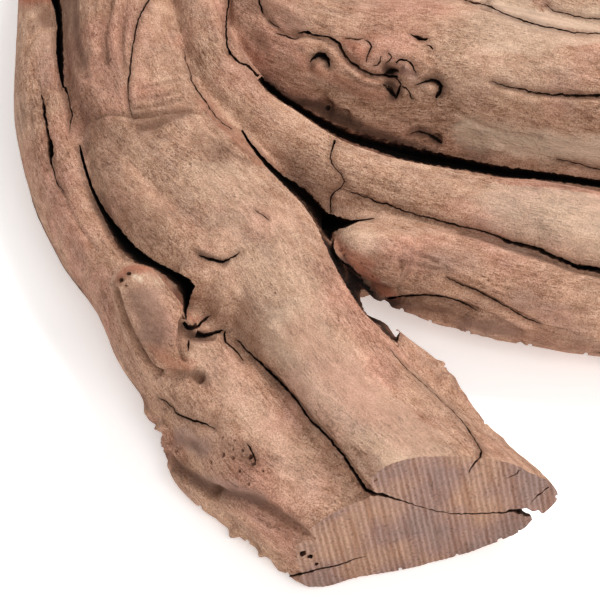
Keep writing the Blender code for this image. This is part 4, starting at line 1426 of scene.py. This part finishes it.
def add_node(tree, kind, settings=None):
    """Adds a node. settings has its own properties, and for its inputs a value or the socket that
    feeds it."""
    node = tree.nodes.new(kind)
    for key, value in (settings or {}).items():
        if isinstance(key, str) and hasattr(node, key):
            setattr(node, key, value)
        elif isinstance(value, bpy.types.NodeSocket):
            tree.links.new(value, node.inputs[key])
        else:
            node.inputs[key].default_value = value
    return node


def rgba(colour):
    """A linear RGBA from an sRGB hex colour, a grey level or three linear numbers."""
    if isinstance(colour, str):
        return linear(colour)
    if isinstance(colour, float):
        return (colour, colour, colour, 1.0)
    return (*colour, 1.0)


def ramp(tree, factor, *stops):
    """A colour ramp over factor: stops are (position, colour)."""
    node = add_node(tree, "ShaderNodeValToRGB", {"Fac": factor})
    elements = node.color_ramp.elements
    for element, (position, colour) in zip(elements, (stops[0], stops[-1])):
        element.position, element.color = position, rgba(colour)
    for position, colour in stops[1:-1]:
        elements.new(position).color = rgba(colour)
    return node.outputs["Color"]


def mixed(tree, kind, factor, first, second):
    """Mixes two colours by factor, which is a socket or a number."""
    settings = {"data_type": "RGBA", "blend_type": kind, 0: factor, 6: first, 7: second}
    return add_node(tree, "ShaderNodeMix", settings).outputs[2]


def tinted(tree, colour, factor, tint):
    """The colour, mixed towards tint by factor."""
    return mixed(tree, "MIX", factor, colour, rgba(tint))


def shaded(tree, colour, pattern, *stops, factor=1.0):
    """The colour, multiplied by a ramp over pattern."""
    return mixed(tree, "MULTIPLY", factor, colour, ramp(tree, pattern, *stops))


def product(tree, first, second):
    """One value times another."""
    settings = {"operation": "MULTIPLY", 0: first, 1: second}
    return add_node(tree, "ShaderNodeMath", settings).outputs[0]


def attribute(tree, name, output="Fac"):
    """A value stored on the mesh."""
    return add_node(tree, "ShaderNodeAttribute", {"attribute_name": name}).outputs[output]


def mapped(tree, vector, **settings):
    """Coordinates turned or scaled."""
    settings["Vector"] = vector
    return add_node(tree, "ShaderNodeMapping", settings).outputs["Vector"]


def noise(tree, vector, scale, detail, roughness=0.5):
    """Noise with scale bumps per unit of the coordinates."""
    settings = {"Scale": scale, "Detail": detail, "Roughness": roughness, "Vector": vector}
    return add_node(tree, "ShaderNodeTexNoise", settings).outputs["Fac"]


def grain_pattern(tree, grain, along, across, detail=5.0, roughness=0.6):
    """Noise with one bump per along and across millimetres of the grain."""
    scale = (1 / (along * MM), 1 / (across * MM), 1 / (across * MM))
    return noise(tree, mapped(tree, grain, Scale=scale), 1.0, detail, roughness)


def bumped(tree, shader, *layers):
    """Bumps on top of each other: each layer is a height, its distance in metres and strength."""
    below = {}
    for height, distance, strength in layers:
        settings = {"Strength": strength, "Distance": distance, "Height": height, **below}
        below = {"Normal": add_node(tree, "ShaderNodeBump", settings).outputs["Normal"]}
    tree.links.new(below["Normal"], shader.inputs["Normal"])


def new_material(name, roughness, specular):
    """A material, its node tree and its shader."""
    material = bpy.data.materials.new(name)
    material.use_nodes = True
    tree = material.node_tree
    shader = tree.nodes["Principled BSDF"]
    shader.inputs["Roughness"].default_value = roughness
    shader.inputs["Specular IOR Level"].default_value = specular
    return material, tree, shader


def object_place(tree):
    """Where a point lies on the object, in metres."""
    return add_node(tree, "ShaderNodeTexCoord").outputs["Object"]


def weathered_wood():
    """Manzanita heartwood, bare and sandblasted: matt and dry, a fairly even salmon tan with
    stains, fine grit and short pits drawn out along the grain. Painted shade darkens its
    hollows, the lips of cracks and the places that lie in shade, and painted light brightens
    the upper limb's underside."""
    material, tree, shader = new_material("sandblasted_manzanita", 0.9, 0.3)
    place = object_place(tree)
    grain = attribute(tree, "grain", "Vector")

    # Hue drifts over about 30 mm; wear changes over 14 mm; dull clouds are 16 x 6 mm; mottles
    # are 5 x 2.5 mm; fibres are 4.5 x 0.5 mm; pits are 1.5 x 0.7 mm; grit is 0.4 mm.
    drift = noise(tree, place, 33.0, 3.0)
    wear = noise(tree, place, 70.0, 3.0)
    cloud = grain_pattern(tree, grain, 16.0, 6.0, detail=4.0)
    mottle = grain_pattern(tree, grain, 5.0, 2.5, detail=5.0, roughness=0.65)
    fibre = grain_pattern(tree, grain, 4.5, 0.5, detail=3.0)
    pits = grain_pattern(tree, grain, 1.5, 0.7, detail=3.0, roughness=0.65)
    grit = noise(tree, place, 2500.0, 3.0)
    worn = {"From Min": 0.36, "From Max": 0.62, "To Min": 0.25, "To Max": 1.0, "Value": wear}
    rough = add_node(tree, "ShaderNodeMapRange", worn).outputs["Result"]

    colour = ramp(tree, drift, (0.36, WOOD_SALMON), (0.50, WOOD_TAN), (0.66, WOOD_STRAW))
    colour = tinted(tree, colour, ramp(tree, cloud, (0.34, 0.35), (0.52, 0.0)), WOOD_MAUVE)
    for pattern, low, high, dark, factor in (
        (mottle, 0.30, 0.62, "#D0C1B5", 1.0),
        (fibre, 0.30, 0.58, "#CFC0B4", rough),
        (pits, 0.28, 0.50, "#A08C80", rough),
        (grit, 0.32, 0.60, "#C2B4A8", 1.0),
    ):
        colour = shaded(tree, colour, pattern, (low, dark), (high, "#FFFFFF"), factor=factor)
    # The wood's own stains, with painted light in the pale kind on the upper limb's underside, painted
    # shade in the brown and darkest kinds, and painted shade in hollows and beside the crack walls.
    for name, tint, strength in (
        ("pale", WOOD_PALE, 1.0),
        ("mauve", WOOD_MAUVE, 1.0),
        ("rust", WOOD_RUST, 1.0),
        ("umber_and_painted_shade", WOOD_UMBER_AND_SHADE, 1.0),
        ("painted_hollow_shade", WOOD_UMBER_AND_SHADE, 1.0),
        ("painted_crack_lip_shade", WOOD_UMBER_AND_SHADE, 0.55),
        ("painted_shade", CRACK_DARK, 1.0),
    ):
        colour = tinted(tree, colour, product(tree, attribute(tree, name), strength), tint)
    tree.links.new(colour, shader.inputs["Base Color"])
    bumped(
        tree,
        shader,
        (mottle, 0.0009, 0.7),
        (fibre, 0.0003, 0.8),
        (product(tree, pits, rough), 0.0008, 1.0),
        (grit, 0.0003, 1.0),
    )
    return material


def sawn_wood():
    """End grain as a coarse saw leaves it: duller and greyer than the blasted wood, with upright
    kerf lines and small pores."""
    material, tree, shader = new_material("sawn_end_grain", 0.9, 0.3)
    place = object_place(tree)
    turned = mapped(tree, place, vector_type="TEXTURE", Rotation=(0.0, 0.0, SAW_TURN))
    slant = mapped(tree, turned, Rotation=(0.0, math.atan(KERF_SLANT), 0.0))
    stripes = {
        "wave_type": "BANDS",
        "bands_direction": "X",
        "Scale": WAVE_BAND / (KERF_SPACING * MM),
        "Distortion": 1.6,
        "Detail": 4.0,
        "Detail Scale": 1.6,
        "Vector": slant,
    }
    kerf = add_node(tree, "ShaderNodeTexWave", stripes).outputs["Fac"]
    streak = noise(tree, mapped(tree, slant, Scale=(900.0, 900.0, 60.0)), 1.0, 3.0)
    patches = noise(tree, place, 60.0, 4.0)
    pores = noise(tree, place, 1500.0, 3.0, 0.7)
    colour = ramp(tree, patches, (0.36, SAWN_GREY), (0.50, SAWN_MAUVE), (0.64, SAWN_TAN))
    low, middle, high = (0.82, 0.78, 0.74), (0.94, 0.91, 0.89), (1.12, 1.15, 1.18)
    colour = shaded(tree, colour, kerf, (0.0, low), (0.5, middle), (0.9, high))
    colour = shaded(tree, colour, streak, (0.34, (0.84, 0.74, 0.67)), (0.50, 1.0), (0.66, 1.14))
    colour = shaded(tree, colour, pores, (0.30, 0.45), (0.44, 0.97), (0.7, 1.14))
    tree.links.new(colour, shader.inputs["Base Color"])
    bumped(tree, shader, (streak, 0.0005, 0.9), (pores, 0.0005, 1.0))
    return material


def crack_wood():
    """The walls of cracks: brown at the lips and, as painted shade, nearly black further in."""
    material, tree, shader = new_material("crack_walls", 0.95, 0.2)
    place = object_place(tree)
    grain = attribute(tree, "grain", "Vector")

    # Torn fibres are 5 x 0.8 mm, mottles are 6 x 3 mm and clots of dirt are 1.1 mm.
    fibre = grain_pattern(tree, grain, 5.0, 0.8, detail=4.0)
    mottle = grain_pattern(tree, grain, 6.0, 3.0, detail=4.0)
    dirt_and_shade = noise(tree, place, 900.0, 4.0)
    sunk = attribute(tree, "sunk")
    # Painted shade: the walls turn from brown to black the deeper they lie.
    colour = ramp(tree, sunk, (0.0, CRACK_BROWN), (0.3, CRACK_DARK), (1.0, CRACK_BLACK))
    colour = shaded(tree, colour, dirt_and_shade, (0.3, 0.6), (0.7, 1.3))
    for pattern in (fibre, mottle):
        colour = shaded(tree, colour, pattern, (0.34, 0.6), (0.66, 1.5))
    # Painted shade where the darkest stain kind lies.
    colour = tinted(tree, colour, attribute(tree, "painted_shade"), CRACK_BLACK)
    tree.links.new(colour, shader.inputs["Base Color"])
    bumped(tree, shader, (mottle, 0.0009, 0.8), (fibre, 0.0005, 0.9))
    return material


def white_floor():
    """Seamless white studio paper, matt and lit from below, so that shadows on it stay pale."""
    material, _, shader = new_material("studio_paper", 0.9, 0.5)
    shader.inputs["Base Color"].default_value = linear(FLOOR_WHITE)
    shader.inputs["Emission Color"].default_value = linear(FLOOR_WHITE)
    shader.inputs["Emission Strength"].default_value = 0.35
    return material


def add_floor():
    """A wide square of paper, a hair below the wood."""
    size, level = 6.0, -0.0002
    corners = [(x * size, y * size, level) for x, y in ((-1, -1), (1, -1), (1, 1), (-1, 1))]
    floor = mesh_object("floor", corners, [(0, 1, 2, 3)])
    floor.data.materials.append(white_floor())


def add_camera():
    """The camera stands where the photograph's did and looks down at the same angle."""
    data = bpy.data.cameras.new("camera")
    data.sensor_width = SENSOR_WIDTH
    data.lens = SENSOR_WIDTH * VIEW_DISTANCE / FRAME_WIDTH
    data.clip_start = 0.01
    data.clip_end = 50.0
    camera = bpy.data.objects.new("camera", data)
    camera.location = VIEW_POINT
    camera.rotation_mode = "QUATERNION"
    camera.rotation_quaternion = Vector(-VIEW_BACK).to_track_quat("-Z", "Y")
    bpy.context.scene.collection.objects.link(camera)
    bpy.context.scene.camera = camera


def add_softbox(name, location, target, size, power):
    """A square area light that faces target."""
    data = bpy.data.lights.new(name, "AREA")
    data.shape = "SQUARE"
    data.size = size
    data.energy = power
    light = bpy.data.objects.new(name, data)
    light.location = location
    light.rotation_mode = "QUATERNION"
    light.rotation_quaternion = (Vector(target) - Vector(location)).to_track_quat("-Z", "Y")
    bpy.context.scene.collection.objects.link(light)


def add_lights():
    """Soft white light: a softbox above and behind on the right, a weaker one in front, and a pale
    room all round."""
    world = bpy.data.worlds.new("studio")
    world.use_nodes = True
    world.node_tree.nodes["Background"].inputs["Color"].default_value = (1.0, 1.0, 1.0, 1.0)
    world.node_tree.nodes["Background"].inputs["Strength"].default_value = 0.48
    bpy.context.scene.world = world
    add_softbox("key", (0.45, 0.50, 1.25), (-0.09, -0.08, 0.0), 0.55, 19.0)
    add_softbox("front", (0.25, -1.00, 0.80), (-0.09, -0.08, 0.03), 0.7, 8.5)


WEATHERED = weathered_wood()
SAWN = sawn_wood()
DARK = crack_wood()
branch = build_wood(WEATHERED, SAWN, DARK)
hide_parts("manzanita_branch")
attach(branch, "root")

add_floor()
add_camera()
add_lights()
bpy.context.scene.view_settings.view_transform = "Standard"
